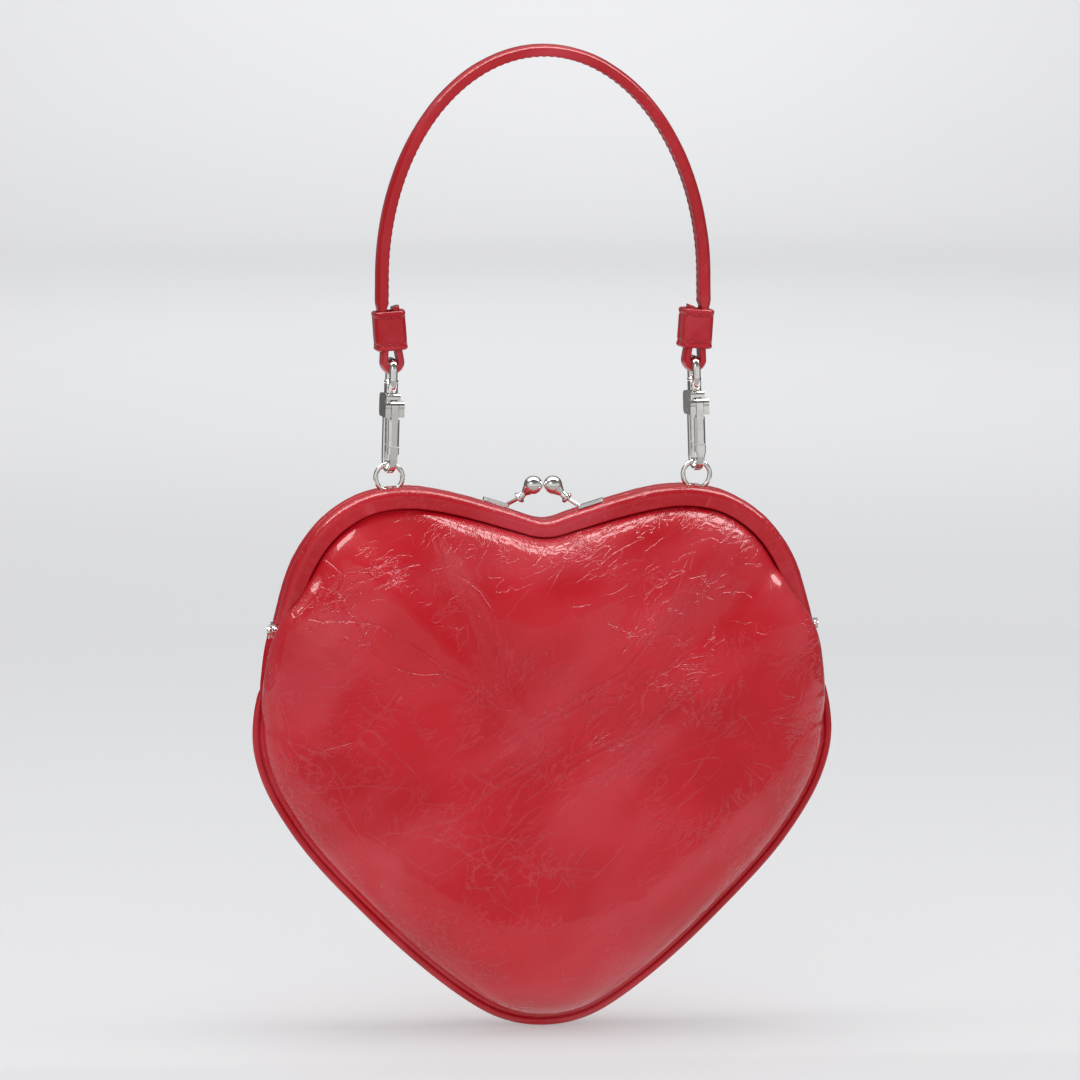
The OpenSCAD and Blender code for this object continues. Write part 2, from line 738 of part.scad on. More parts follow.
// One half of the kiss lock: a foot on the frame's edge, a bent stem, a collar and a ball
module clasp(side, front) {
    y = front ? -bead_y : bead_y;
    foot_end_x = foot_start_x + foot_len;
    lift = foot_t / 2 + glue;
    foot_a = [foot_start_x, y, frame_top_at(foot_start_x) + lift];
    foot_b = [foot_end_x, y, frame_top_at(foot_end_x) + lift];
    ball_at = [ball_x, 0, ball_z];
    collar_at = ball_at + [ball_r * 1.43, y * 0.3, -ball_r * 1.36];
    reach = norm(ball_at - collar_at);
    slope = atan2(foot_b.z - foot_a.z, foot_len);
    axis = ball_at - collar_at;
    color("silver")
        mirror([side == left ? 1 : 0, 0, 0]) {
            translate(foot_a)
                rotate([0, -slope, 0])
                    translate([0, 0, -foot_t / 2])
                        linear_extrude(foot_t)
                            translate([norm(foot_b - foot_a) / 2, 0])
                                rounded_rect(norm(foot_b - foot_a) + foot_w, foot_w, foot_w * 0.45);
            rod(foot_a, collar_at, stem_r);
            translate(foot_a)
                sphere(stem_r * 1.05, $fn = 32);
            translate(collar_at)
                rotate([0, acos(axis.z / reach), atan2(axis.y, axis.x)])
                    rotate_extrude($fn = 64)
                        polygon([
                            [0, -collar_r * 0.35], [collar_r * 0.7, -collar_r * 0.35],
                            [collar_r, -collar_r * 0.1], [collar_r, collar_r * 0.15],
                            [collar_r * 0.7, collar_r * 0.4], [collar_r * 0.55, reach * 0.35],
                            [ball_r * 0.72, reach - ball_r * 0.7], [0, reach]
                        ]);
            translate(ball_at)
                sphere(ball_r, $fn = 96);
        }
}

// Value along the outline: one at the frame, one where the gusset starts to narrow, and
// one along the sewn seam, with straight blends between them
function along(t, at_frame, at_hinge, at_seam) =
    let (k = folded(t))
    k <= frame_end_at ? at_frame
    : k <= frame_end_at + 1 ? at_frame + (at_hinge - at_frame) * (k - frame_end_at)
    : k <= gusset_end_at ? at_hinge + (at_seam - at_hinge) * (k - frame_end_at - 1)
    : at_seam;

// Share of the full depth at a share of the way out from the belly's middle
function fullness(share, t) = pow(1 - pow(share, 3.2), along(t, 0.6, 0.52, 0.46));

// Ring of points round the heart, at a share of the way out to the shoulder of its rim
function belly_ring(share, thick, back, rim_y, hinge_y, seam_y, depth, skip) = [
    for (t = [0:skip:stations - 1])
        let (shoulder = along(t, face_at(t) + gap + back, hinge_inset + seam_w + back,
            seam_inset + seam_w + back))
        let (edge = inside(t, shoulder))
        let (reach = norm(edge - belly_middle))
        let (p = belly_middle + (edge - belly_middle) * (share - thick / reach))
        let (y = along(t, rim_y, hinge_y, seam_y))
        [p.x, -(y + (depth - y) * fullness(share, t) - thick), p.y]
];

// Flat rim of a panel, tucked into the channel or laid in the seam
function rim_ring(thick, back, tuck, rim_y, hinge_y, seam_y, skip) = [
    for (t = [0:skip:stations - 1])
        let (p = inside(t, along(t, tuck, hinge_inset + back, seam_inset + back)))
        let (y = along(t, rim_y, hinge_y, seam_y))
        [p.x, -(y - thick), p.y]
];

// Bulging shell of one face of the bag
module belly(shares, thick, back, tuck, rim_y, hinge_y, seam_y, depth, skip) {
    n = len(shares);
    rings = concat(
        [
            for (i = [0:n - 1])
                belly_ring(shares[i], 0, back, rim_y, hinge_y, seam_y, depth, skip)
        ],
        [rim_ring(0, back, tuck, rim_y, hinge_y, seam_y, skip)],
        [rim_ring(thick, back, tuck, rim_y, hinge_y, seam_y, skip)],
        [
            for (i = [n - 1:-1:0])
                belly_ring(shares[i], thick, back, rim_y, hinge_y, seam_y, depth, skip)
        ]
    );
    loft(rings);
}

module panel() {
    hinge_y = (panel_rim_y + seam_y) * 0.57;
    belly(panel_ring_shares, panel_t, 0, panel_tuck, panel_rim_y, hinge_y, seam_y, belly_y, 1);
}

module lining() {
    hinge_y = (lining_rim_y + lining_seam_y) * 0.52;
    belly(lining_ring_shares, lining_t, lining_back, lining_tuck, lining_rim_y, hinge_y,
        lining_seam_y, belly_y - panel_t - 2 * tuck_gap, 2);
}

module front_panel() {
    color("crimson") panel();
}

module back_panel() {
    color("firebrick") mirror([0, 1, 0]) panel();
}

module front_lining() {
    color("rosybrown") lining();
}

module back_lining() {
    color("rosybrown") mirror([0, 1, 0]) lining();
}

// Side strip between the two panels, from the hinge down to the top of the piping
module gusset(side) {
    hinge_y = (panel_rim_y + seam_y) * 0.57;
    first = frame_end_at + 0.3;
    last = gusset_end_at - 0.1;
    steps = 4;
    rings = [
        for (i = [0:steps])
            let (t = first + (last - first) * i / steps)
            let (y = along(t, panel_rim_y, hinge_y, seam_y) - panel_t - gap)
            let (inset = along(t, panel_tuck, hinge_inset, seam_inset))
            let (a = inside(t, inset), b = inside(t, inset + gusset_t))
            [[a.x, -y, a.y], [a.x, y, a.y], [b.x, y, b.y], [b.x, -y, b.y]]
    ];
    color("firebrick")
        mirror([side == left ? 1 : 0, 0, 0])
            loft(rings);
}

module piping() {
    first = gusset_end_at;
    spans = stations - 2 * first;
    rings = [
        for (i = [0:2 * spans])
            let (t = first + i / 2)
            [
                for (j = [0:7])
                    let (p = inside(t, piping_r + piping_r * cos(45 * j)))
                    [p.x, piping_r * sin(45 * j), p.y]
            ]
    ];
    color("crimson") loft(rings);
}

handle_strap();
keeper(left);  // left_keeper
keeper(right);  // right_keeper
snap_eye(left);  // left_snap_eye
snap_eye(right);  // right_snap_eye
snap_hook(left);  // left_snap_hook
snap_hook(right);  // right_snap_hook
snap_gate(left);  // left_snap_gate
snap_gate(right);  // right_snap_gate
gate_pin(left);  // left_gate_pin
gate_pin(right);  // right_gate_pin
gate_spring(left);  // left_gate_spring
gate_spring(right);  // right_gate_spring
ring(left);  // left_ring
ring(right);  // right_ring
ring_lug(left);  // left_ring_lug
ring_lug(right);  // right_ring_lug
frame_channel(false);  // back_frame_channel
frame_channel(true);  // front_frame_channel
frame_cover(false);  // back_frame_cover
frame_cover(true);  // front_frame_cover
hinge_pin(left);  // left_hinge_pin
hinge_pin(right);  // right_hinge_pin
clasp(left, false);  // back_clasp
clasp(right, true);  // front_clasp
front_panel();
back_panel();
gusset(left);  // left_gusset
gusset(right);  // right_gusset
piping();
front_lining();
back_lining();
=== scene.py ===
"""Looks of a heart-shaped purse with a leather-covered kiss-lock frame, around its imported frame.

Shapes are worked out in millimetres in the row frame, and add_mesh() turns them into metres.
"""
import math

import bmesh
import bpy
import numpy as np
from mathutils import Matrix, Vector


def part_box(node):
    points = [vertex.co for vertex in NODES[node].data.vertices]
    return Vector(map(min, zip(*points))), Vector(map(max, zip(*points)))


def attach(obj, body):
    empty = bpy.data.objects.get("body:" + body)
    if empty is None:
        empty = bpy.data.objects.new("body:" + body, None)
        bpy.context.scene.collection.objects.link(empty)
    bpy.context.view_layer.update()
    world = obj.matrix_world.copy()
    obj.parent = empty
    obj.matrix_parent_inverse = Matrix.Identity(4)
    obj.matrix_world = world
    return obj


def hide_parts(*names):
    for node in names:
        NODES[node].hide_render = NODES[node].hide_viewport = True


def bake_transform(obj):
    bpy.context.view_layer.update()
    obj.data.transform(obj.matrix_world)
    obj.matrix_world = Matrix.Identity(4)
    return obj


MM = 0.001
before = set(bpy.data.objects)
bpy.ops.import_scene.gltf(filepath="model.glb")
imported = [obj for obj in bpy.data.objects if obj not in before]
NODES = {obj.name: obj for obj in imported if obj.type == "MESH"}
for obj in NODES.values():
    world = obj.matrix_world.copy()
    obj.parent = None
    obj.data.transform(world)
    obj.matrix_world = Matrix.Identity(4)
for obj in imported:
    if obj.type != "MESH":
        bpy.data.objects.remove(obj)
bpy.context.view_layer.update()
SIDES = {"left": -1, "right": 1}
HALVES = {"front": -1, "back": 1}


def span(node):
    """Lowest and highest corner of a CAD node, in millimetres."""
    lo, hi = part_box(node)
    return np.array(lo) / MM, np.array(hi) / MM


# Sizes read from the frame
PIPING_LO, PIPING_HI = span("piping")
COVER_LO, COVER_HI = span("front_frame_cover")
STRAP_LO, STRAP_HI = span("handle_strap")
PIN_LO, PIN_HI = span("right_hinge_pin")
RING_LO, RING_HI = span("right_ring")
EYE_HI = span("right_snap_eye")[1]
HALF_W = PIPING_HI[0]
TIP_Z = PIPING_LO[2]
FRAME_TOP_Z = COVER_HI[2]
HINGE_Z = (PIN_LO[2] + PIN_HI[2]) / 2
FRAME_RISE = FRAME_TOP_Z - HINGE_Z
BODY_DROP = HINGE_Z - TIP_Z
BELLY_Y = -span("front_panel")[0][1]
FRAME_IN_Y = -COVER_HI[1]
FRAME_OUT_Y = -COVER_LO[1]
FRAME_DEPTH = FRAME_OUT_Y - FRAME_IN_Y
BEAD_Y = (FRAME_OUT_Y + FRAME_IN_Y) / 2
RING_X = (RING_LO[0] + RING_HI[0]) / 2
PIPING_R = PIPING_HI[1]
STRAP_W = STRAP_HI[1] - STRAP_LO[1]

# Outline of the heart. The first share is of half the width of the bag, the second of the
# frame's rise above the hinges or of the drop below them to the tip.
UPPER_SHARES = [
    (0, 0.768), (0.1, 0.826), (0.24, 0.914), (0.38, 0.984), (0.5, 1), (0.62, 0.955),
    (0.72, 0.845), (0.8, 0.69), (0.865, 0.475), (0.9, 0.26), (0.924, 0.07),
]
LOWER_SHARES = [
    (0.95, 0.04), (0.97, 0.12), (0.995, 0.205), (0.998, 0.29), (0.965, 0.38), (0.9, 0.47),
    (0.8, 0.572), (0.66, 0.682), (0.48, 0.81), (0.3, 0.917), (0.15, 0.981), (0, 1),
]
RIGHT = [(x * HALF_W, HINGE_Z + z * FRAME_RISE) for x, z in UPPER_SHARES]
RIGHT += [(x * HALF_W, HINGE_Z - z * BODY_DROP) for x, z in LOWER_SHARES]
OUTLINE = np.array(RIGHT + [(-x, z) for x, z in RIGHT[-2:0:-1]])
STATIONS = len(OUTLINE)
FRAME_END = len(UPPER_SHARES) - 1
DENSE = 32
SOFTEN = 5


def joined(*coordinates):
    """Points from their coordinates, each an array or a single number."""
    return np.stack(np.broadcast_arrays(*coordinates), axis=-1)


def at_depth(p, y):
    """Points of the heart's plane, set in front of it or behind it."""
    return joined(p[..., 0], y, p[..., 1])


def hump(x, width):
    """Smooth hump, 1 in its middle and near 0 at twice its width."""
    return np.exp(-((x / width) ** 2))


def curve(points, t):
    """Points of a smooth closed curve through the given ones, at places counted in points."""
    t = np.asarray(t, float)
    k = np.floor(t).astype(int)
    f = (t - k)[..., None]
    a, b, c, d = (points[(k + i) % len(points)] for i in (-1, 0, 1, 2))
    square = (2 * a - 5 * b + 4 * c - d) * f**2
    cube = (3 * b - a - 3 * c + d) * f**3
    return (2 * b + (c - a) * f + square + cube) / 2


def softened(values, spread):
    """Values round a closed loop, averaged with a bell of this spread, counted in values."""
    reach = int(3 * spread)
    offsets = np.arange(-reach, reach + 1)
    bell = np.exp(-0.5 * (offsets / spread) ** 2)
    bell /= bell.sum()
    return sum(w * np.roll(values, -o, axis=0) for w, o in zip(bell, offsets))


DENSE_OUTLINE = softened(curve(OUTLINE, np.arange(STATIONS * DENSE) / DENSE), SOFTEN)


def outline(t):
    """Points of the heart's outline at places counted clockwise from the notch."""
    return curve(DENSE_OUTLINE, np.asarray(t, float) * DENSE)


def inward(t):
    """Directions square to the outline, into the heart."""
    v = outline(t + 0.05) - outline(t - 0.05)
    v /= np.linalg.norm(v, axis=-1, keepdims=True)
    return joined(v[..., 1], -v[..., 0])


def inside(t, inset):
    """Points at a distance inside the outline."""
    return outline(t) + np.asarray(inset)[..., None] * inward(t)


def folded(t):
    """Place folded to the right half, so that both halves are alike."""
    w = np.asarray(t, float) % STATIONS
    return np.minimum(w, STATIONS - w)


# Large odd numbers that mix a lattice cell's axes
AXIS_MIX = (73856093, 19349663, 83492791)


def hashed(cell, seed):
    """A fixed number from 0 to 1 for each cell of a lattice."""
    n = np.zeros_like(cell[..., 0])
    for axis in range(cell.shape[-1]):
        n = n ^ (cell[..., axis] * AXIS_MIX[axis])
    n = (n ^ (seed * 2654435 + 97531)) & 0xFFFFFFFF
    n = ((n ^ (n >> 15)) * 2246822519) & 0xFFFFFFFF
    n = ((n ^ (n >> 13)) * 3266489917) & 0xFFFFFFFF
    return (n & 0xFFFFF) / 0xFFFFF


def noise(coordinates, size, seed):
    """Smooth noise from -1 to 1, in lumps of about this size, which may differ by axis."""
    q = joined(*coordinates) / np.asarray(size, float)
    base = np.floor(q).astype(np.int64)
    f = q - base
    w = f * f * f * (f * (6 * f - 15) + 10)
    total = 0
    for corner in np.ndindex(*(2,) * q.shape[-1]):
        weight = np.prod(np.where(corner, w, 1 - w), axis=-1)
        total = total + weight * hashed(base + np.array(corner), seed)
    return 2 * total - 1


def step(x, low, high):
    """Smooth step from 0 at low to 1 at high."""
    u = np.clip((np.asarray(x, float) - low) / (high - low), 0, 1)
    return u * u * (3 - 2 * u)


def from_table(table, at, column=1):
    """Values of a table's column between its rows, which begin with their places."""
    rows = np.array(table, float)
    return np.interp(at, rows[:, 0], rows[:, column])


def run_of(path):
    """Running length along a path at each of its points."""
    return np.concatenate([[0], np.cumsum(np.linalg.norm(np.diff(path, axis=0), axis=1))])


def at_run(s, run, path):
    """Points or other values of a path at running lengths."""
    return joined(*(np.interp(s, run, path[:, i]) for i in range(path.shape[1])))


def turned(x, z, degrees):
    """Coordinates along and across a direction in the plane of the heart."""
    a = math.radians(degrees)
    return x * math.cos(a) + z * math.sin(a), z * math.cos(a) - x * math.sin(a)


# Meshes

def add_mesh(name, points, faces, material, crease=None, beside=None):
    """New smooth mesh from points in millimetres. Its rest places, the strength of its
    creases and the distance beside the nearest one are kept on its points, for its material."""
    mesh = bpy.data.meshes.new(name)
    points = np.asarray(points, float)
    mesh.from_pydata((points * MM).tolist(), [], faces)
    mesh.polygons.foreach_set("use_smooth", np.ones(len(mesh.polygons), bool))
    place = mesh.attributes.new("rest_place", "FLOAT_VECTOR", "POINT")
    place.data.foreach_set("vector", (points * MM).astype(np.float32).ravel())
    for key, values in (("crease", crease), ("beside", beside)):
        if values is not None:
            kept = mesh.attributes.new(key, "FLOAT", "POINT")
            kept.data.foreach_set("value", np.asarray(values, np.float32).ravel())
    mesh.materials.append(material)
    mesh.update()
    obj = bpy.data.objects.new(name, mesh)
    bpy.context.scene.collection.objects.link(obj)
    return obj


def square_faces(rows, columns, closed, first=0):
    """Quads over a grid of points, closed in its columns or open."""
    i, j = np.meshgrid(np.arange(rows - 1), np.arange(columns - (not closed)), indexing="ij")
    a = first + i * columns + j
    b = first + i * columns + (j + 1) % columns
    return np.stack([a, b, b + columns, a + columns], axis=-1).reshape(-1, 4).tolist()


def grid_normals(grid, closed):
    """Unit normals of a grid of points, closed in its columns or open."""
    if closed:
        across = np.roll(grid, -1, axis=1) - np.roll(grid, 1, axis=1)
    else:
        across = np.gradient(grid, axis=1)
    along = np.gradient(grid, axis=0)
    n = np.cross(across, along)
    return n / np.maximum(np.linalg.norm(n, axis=-1, keepdims=True), 1e-9)


def swept(name, rings, material, crease=None):
    """Closed tube through rings of points, with a cap at each end."""
    rings = np.asarray(rings, float)
    rows, columns = rings.shape[:2]
    faces = square_faces(rows, columns, True)
    faces.append(list(range(columns))[::-1])
    faces.append([(rows - 1) * columns + j for j in range(columns)])
    obj = add_mesh(name, rings.reshape(-1, 3), faces, material, crease)
    face_outward(obj)
    return obj


def face_outward(obj):
    """Turns all faces of a closed mesh outward."""
    bm = bmesh.new()
    bm.from_mesh(obj.data)
    bmesh.ops.recalc_face_normals(bm, faces=bm.faces)
    bm.to_mesh(obj.data)
    bm.free()


# Materials

class Shader:
    """A material's node tree with short calls to add and join nodes."""

    def __init__(self, name):
        self.material = bpy.data.materials.new(name)
        self.material.use_nodes = True
        self.tree = self.material.node_tree
        self.surface = self.tree.nodes["Principled BSDF"]

    def add(self, kind, inputs=None, **settings):
        node = self.tree.nodes.new(kind)
        for key, value in settings.items():
            setattr(node, key, value)
        for key, value in (inputs or {}).items():
            self.set(node.inputs[key], value)
        return node

    def set(self, socket, value):
        if isinstance(value, bpy.types.NodeSocket):
            self.tree.links.new(value, socket)
        else:
            socket.default_value = value

    def math(self, operation, *values):
        node = self.add("ShaderNodeMath", operation=operation)
        for socket, value in zip(node.inputs, values):
            self.set(socket, value)
        return node.outputs[0]

    def times(self, a, b):
        return self.math("MULTIPLY", a, b)

    def most(self, a, b):
        return self.math("MAXIMUM", a, b)

    def ramp(self, value, low, high, start=0.0, end=1.0):
        node = self.add(
            "ShaderNodeMapRange",
            {"Value": value, "From Min": low, "From Max": high, "To Min": start, "To Max": end},
            interpolation_type="SMOOTHSTEP",
        )
        return node.outputs["Result"]

    def blend(self, factor, a, b):
        node = self.add("ShaderNodeMix", data_type="RGBA")
        self.set(node.inputs["Factor"], factor)
        self.set(node.inputs["A"], a)
        self.set(node.inputs["B"], b)
        return node.outputs["Result"]

    def place(self):
        return self.add("ShaderNodeAttribute", attribute_name="rest_place").outputs["Vector"]

    def noise(self, vector, scale, detail=2.0, distortion=0.0, roughness=0.5):
        node = self.add(
            "ShaderNodeTexNoise",
            {"Vector": vector, "Scale": scale, "Detail": detail, "Distortion": distortion,
             "Roughness": roughness},
        )
        return node.outputs["Fac"]

    def stretched(self, vector, degrees, scale):
        """Coordinates turned in the plane of the heart and scaled by axis."""
        turn = self.add(
            "ShaderNodeMapping", {"Vector": vector, "Rotation": (0, math.radians(degrees), 0)}
        )
        sized = self.add("ShaderNodeMapping", {"Vector": turn.outputs["Vector"], "Scale": scale})
        return sized.outputs["Vector"]

    def hairlines(self, vector, degrees, scale, width, patch_scale, patch_low):
        """Long thin lines in one main direction, that come and go in patches."""
        along = self.stretched(vector, degrees, (scale * 0.28, scale, scale))
        value = self.noise(along, 1.0, detail=2.5, distortion=0.35, roughness=0.55)
        line = self.ramp(self.math("ABSOLUTE", self.math("SUBTRACT", value, 0.5)), 0, width, 1, 0)
        patch = self.noise(self.stretched(vector, -degrees, (1, 1, 1)), patch_scale, detail=1.0)
        return self.times(line, self.ramp(patch, patch_low, patch_low + 0.16))

    def finish(self, **inputs):
        for key, value in inputs.items():
            self.set(self.surface.inputs[key.replace("_", " ")], value)
        return self.material


# Colours in linear light
RED = (0.57, 0.007, 0.018, 1)
RED_DEEP = (0.49, 0.004, 0.012, 1)
RED_PALE = (0.66, 0.075, 0.10, 1)
THREAD = (0.50, 0.03, 0.045, 1)
LINING = (0.33, 0.05, 0.06, 1)
NICKEL_PALE = (0.95, 0.935, 0.90, 1)
STEEL_GREY = (0.42, 0.41, 0.40, 1)
# Half the width in millimetres of the worn line along a crease
LINE_HALF_W = 0.24
# Hairlines: direction in degrees, scale, width, and scale and lowest level of their patches
HAIRLINES = [
    (40, 130, 0.020, 26, 0.46), (58, 210, 0.026, 34, 0.50), (15, 150, 0.018, 30, 0.54),
    (30, 330, 0.035, 38, 0.52), (100, 260, 0.030, 44, 0.56),
]


def shaded(colour, share):
    """A colour darkened to a share of its light."""
    return tuple(c * share for c in colour[:3]) + (1,)


def leather(name, wear, lines, grain, shade=1.0):
    """Glossy crinkled leather. Wear sets how much paler its creases are, lines how strong
    the fine ones stand, grain the bump of its finest grain, and shade how dark it is."""
    s = Shader(name)
    place = s.place()
    tone = s.noise(place, 22, detail=2)
    cloud = s.noise(s.stretched(place, 40, (14, 40, 30)), 1.0, detail=2)
    base = s.blend(s.ramp(tone, 0.35, 0.68), shaded(RED_DEEP, shade), shaded(RED, shade))
    base = s.blend(s.times(s.ramp(cloud, 0.45, 0.72), 0.35), base, RED_PALE)
    fine = s.hairlines(place, *HAIRLINES[0])
    for settings in HAIRLINES[1:]:
        fine = s.most(fine, s.hairlines(place, *settings))
    crease = s.add("ShaderNodeAttribute", attribute_name="crease").outputs["Fac"]
    beside = s.add("ShaderNodeAttribute", attribute_name="beside").outputs["Fac"]
    thin = s.ramp(s.math("ABSOLUTE", beside), 0.04, LINE_HALF_W, 1, 0)
    line = s.times(thin, s.ramp(crease, 0.1, 0.6))
    worn = s.most(s.times(fine, 0.6), line)
    base = s.blend(s.times(worn, wear), base, RED_PALE)
    skin = s.noise(place, 1400, detail=2)
    swell = s.noise(place, 150, detail=2)
    height = s.times(s.most(fine, s.times(line, 1.6)), -lines)
    height = s.math("ADD", height, s.times(skin, grain))
    height = s.math("ADD", height, s.times(swell, 0.22))
    bump = s.add("ShaderNodeBump", {"Strength": 0.55, "Distance": 0.00022, "Height": height})
    rough = s.ramp(tone, 0.3, 0.7, 0.30, 0.40)
    return s.finish(
        Base_Color=base, Roughness=rough, Normal=bump.outputs["Normal"],
        Specular_IOR_Level=0.12, Coat_Weight=0.62, Coat_Roughness=0.05, Coat_IOR=1.5,
        Coat_Normal=bump.outputs["Normal"],
    )


def plain_cloth(name, colour, scale):
    """Woven twill, with painted shade in the hollows of its weave."""
    s = Shader(name)
    place = s.place()
    wave = {"Vector": place, "Scale": scale, "Distortion": 0.6}
    warp = s.add("ShaderNodeTexWave", wave)
    weft = s.add("ShaderNodeTexWave", wave, bands_direction="Z")
    weave = s.times(warp.outputs["Fac"], weft.outputs["Fac"])
    bump = s.add("ShaderNodeBump", {"Strength": 0.5, "Distance": 0.0002, "Height": weave})
    # Colour darker where the weave lies low: painted shade in its hollows
    return s.finish(
        Base_Color=s.blend(weave, shaded(colour, 0.55), colour), Roughness=0.85,
        Normal=bump.outputs["Normal"], Sheen_Weight=0.3,
    )


def metal(name, colour, roughness):
    """Polished plating with faint polishing marks."""
    s = Shader(name)
    place = s.add("ShaderNodeTexCoord").outputs["Object"]
    marks = s.noise(s.stretched(place, 0, (900, 900, 5000)), 1.0, detail=2)
    smear = s.noise(place, 260, detail=3)
    tint = s.blend(s.ramp(smear, 0.35, 0.7), colour, shaded(colour, 0.9))
    bump = s.add("ShaderNodeBump", {"Strength": 0.08, "Distance": 0.00005, "Height": marks})
    rough = s.ramp(smear, 0.3, 0.75, roughness, roughness * 1.8)
    return s.finish(
        Base_Color=tint, Metallic=1.0, Roughness=rough, Normal=bump.outputs["Normal"],
    )


def thread(name, colour):
    """Waxed sewing thread with its twist, and painted shade in the twist's grooves."""
    s = Shader(name)
    twist = s.add(
        "ShaderNodeTexWave", {"Vector": s.place(), "Scale": 900, "Distortion": 0.4},
        bands_direction="DIAGONAL",
    ).outputs["Fac"]
    bump = s.add("ShaderNodeBump", {"Strength": 0.6, "Distance": 0.0001, "Height": twist})
    # Colour darker where the twist lies low: painted shade in its grooves
    return s.finish(
        Base_Color=s.blend(twist, shaded(colour, 0.6), colour), Roughness=0.55,
        Normal=bump.outputs["Normal"],
    )


BODY_LEATHER = leather("crinkled_body_leather", 0.38, 0.95, 0.06)
FRAME_LEATHER = leather("frame_leather", 0.25, 0.35, 0.08, 0.9)
STRAP_LEATHER = leather("strap_leather_finish", 0.18, 0.2, 0.08, 0.84)
CORD_LEATHER = leather("piping_leather", 0.18, 0.25, 0.08, 0.8)
THREAD_FINISH = thread("waxed_thread", THREAD)
LINING_FINISH = plain_cloth("lining_twill", LINING, 420)
NICKEL = metal("polished_nickel", NICKEL_PALE, 0.06)
STEEL = metal("spring_steel", STEEL_GREY, 0.25)

# Panels of the bag

# The panel's fold by place along the outline: how far inside it the fold lies, and how far in
# front of the middle plane. RETURN and TUCK lead the flap behind the fold back to its seam.
FOLD = [
    (0, 6.5, 6.45), (3, 7.6, 6.45), (7.85, 7.6, 6.55), (8.2, 7.6, 8.0), (8.5, 7.1, 9.9),
    (9.0, 5.5, 10.9), (9.4, 3.2, 11.1), (9.9, 0.9, 10.9), (10.5, 0.2, 9.6), (11.0, 0.1, 8.2),
    (11.6, 0.2, 6.6), (12.1, 0.5, 5.2), (12.7, 1.8, 3.4), (13.3, 3.6, 2.0), (14.0, 4.0, 1.8),
    (22, 4.0, 1.8),
]
RETURN = [
    (0, 6.56, 6.40), (3, 7.66, 6.40), (7.85, 7.7, 6.5), (8.2, 7.9, 7.6), (8.5, 8.1, 8.9),
    (9.0, 8.1, 9.6), (9.4, 8.1, 9.7), (9.9, 7.4, 9.2), (10.5, 3.4, 8.0), (11.0, 2.6, 7.0),
    (12.1, 2.4, 4.4), (12.7, 2.9, 2.9), (13.3, 3.6, 1.7), (14.0, 3.7, 1.6), (22, 3.7, 1.6),
]
TUCK = [
    (0, 5.0, 6.45), (9.8, 5.0, 6.45), (10.4, 4.6, 5.6), (11.0, 4.2, 4.7), (12.0, 3.2, 2.4),
    (12.7, 3.2, 1.8), (22, 3.2, 1.5),
]
# On the right the leather leaves the frame a little sooner
RIGHT_EARLY = 0.15
# Places counted from the notch, to the left below zero, with the two powers of the bulge
ROUNDNESS = [
    (-22, 0.54, 3.0), (-13, 0.54, 3.0), (-11, 0.50, 3.1), (-9, 0.56, 3.2), (-7.4, 0.60, 3.2),
    (-6.3, 0.62, 3.1), (-5.5, 0.88, 2.7), (-3.7, 0.92, 2.7), (-2.7, 0.62, 3.1), (0, 0.54, 3.2),
    (2, 0.60, 3.2), (3.4, 0.80, 2.9), (4.4, 0.74, 3.0), (5.2, 0.58, 3.2), (6.6, 0.60, 3.2),
    (9, 0.56, 3.2), (11, 0.50, 3.1), (13, 0.54, 3.0), (22, 0.54, 3.0),
]
# Places counted in the same way, with how crowded the gathers under the frame are
CROWDED = [
    (-8, 0.5), (-6.5, 0.8), (-5, 0.35), (-3, 0.3), (-1.5, 0.7), (1, 0.7), (2.5, 0.3),
    (4, 0.45), (5, 1), (6.3, 1), (7.5, 0.3),
]
# Heights of the belly's lumps, with their sizes along and across the diagonal
BELLY_LUMPS = [(0.85, (75, 24)), (0.35, (34, 11))]
# Heights of its finest lumps, of the gathers and the folds between them under the frame, of the
# upright folds below the hinges and of the wrinkles across the rim
FINE_LUMP_H = 0.10
GATHER_H = 0.13
GATHER_CUT = 0.10
UPRIGHT_FOLD_H = 0.28
RIM_WRINKLE_H = 0.30
# Ridge up the belly's diagonal, from two points of the photograph in pixels
RIDGE_H = 1.6
RIDGE_LINE = [(590, 795), (730, 685)]
DIAGONAL = 42
PANEL_T = 1.2
# Depth kept free in front of the belly for creases and hollows
RELIEF_ROOM = 0.6
BELLY_MIDDLE = np.array([0, HINGE_Z - 0.33 * BODY_DROP])
ROUND_SPOTS = 704
OUT_RINGS = 150
# How much closer the rings lie toward the fold
CROWD = 1.6
# Rings of the panel's hidden side, as shares of the way from the belly's middle to the fold
HIDDEN_SHARES = np.array([1, 0.985, 0.95, 0.88, 0.75, 0.6, 0.4, 0.2, 0.06])
# Length of outline between two places, roughly
STATION_MM = 14.0

# Photograph's scale, for the creases placed in its pixels, and how far its angle
# moves places on the belly across and down
MM_PER_PX = 0.3635
CENTRE_PX = 541.5
TOP_PX = 484.5
ACROSS_SHARE = 0.1219
DOWN_SHARE = 0.087
SEEN_DEPTH = 28
# What stands for the distance beside a crease where none is near
FAR_BESIDE = 9.0

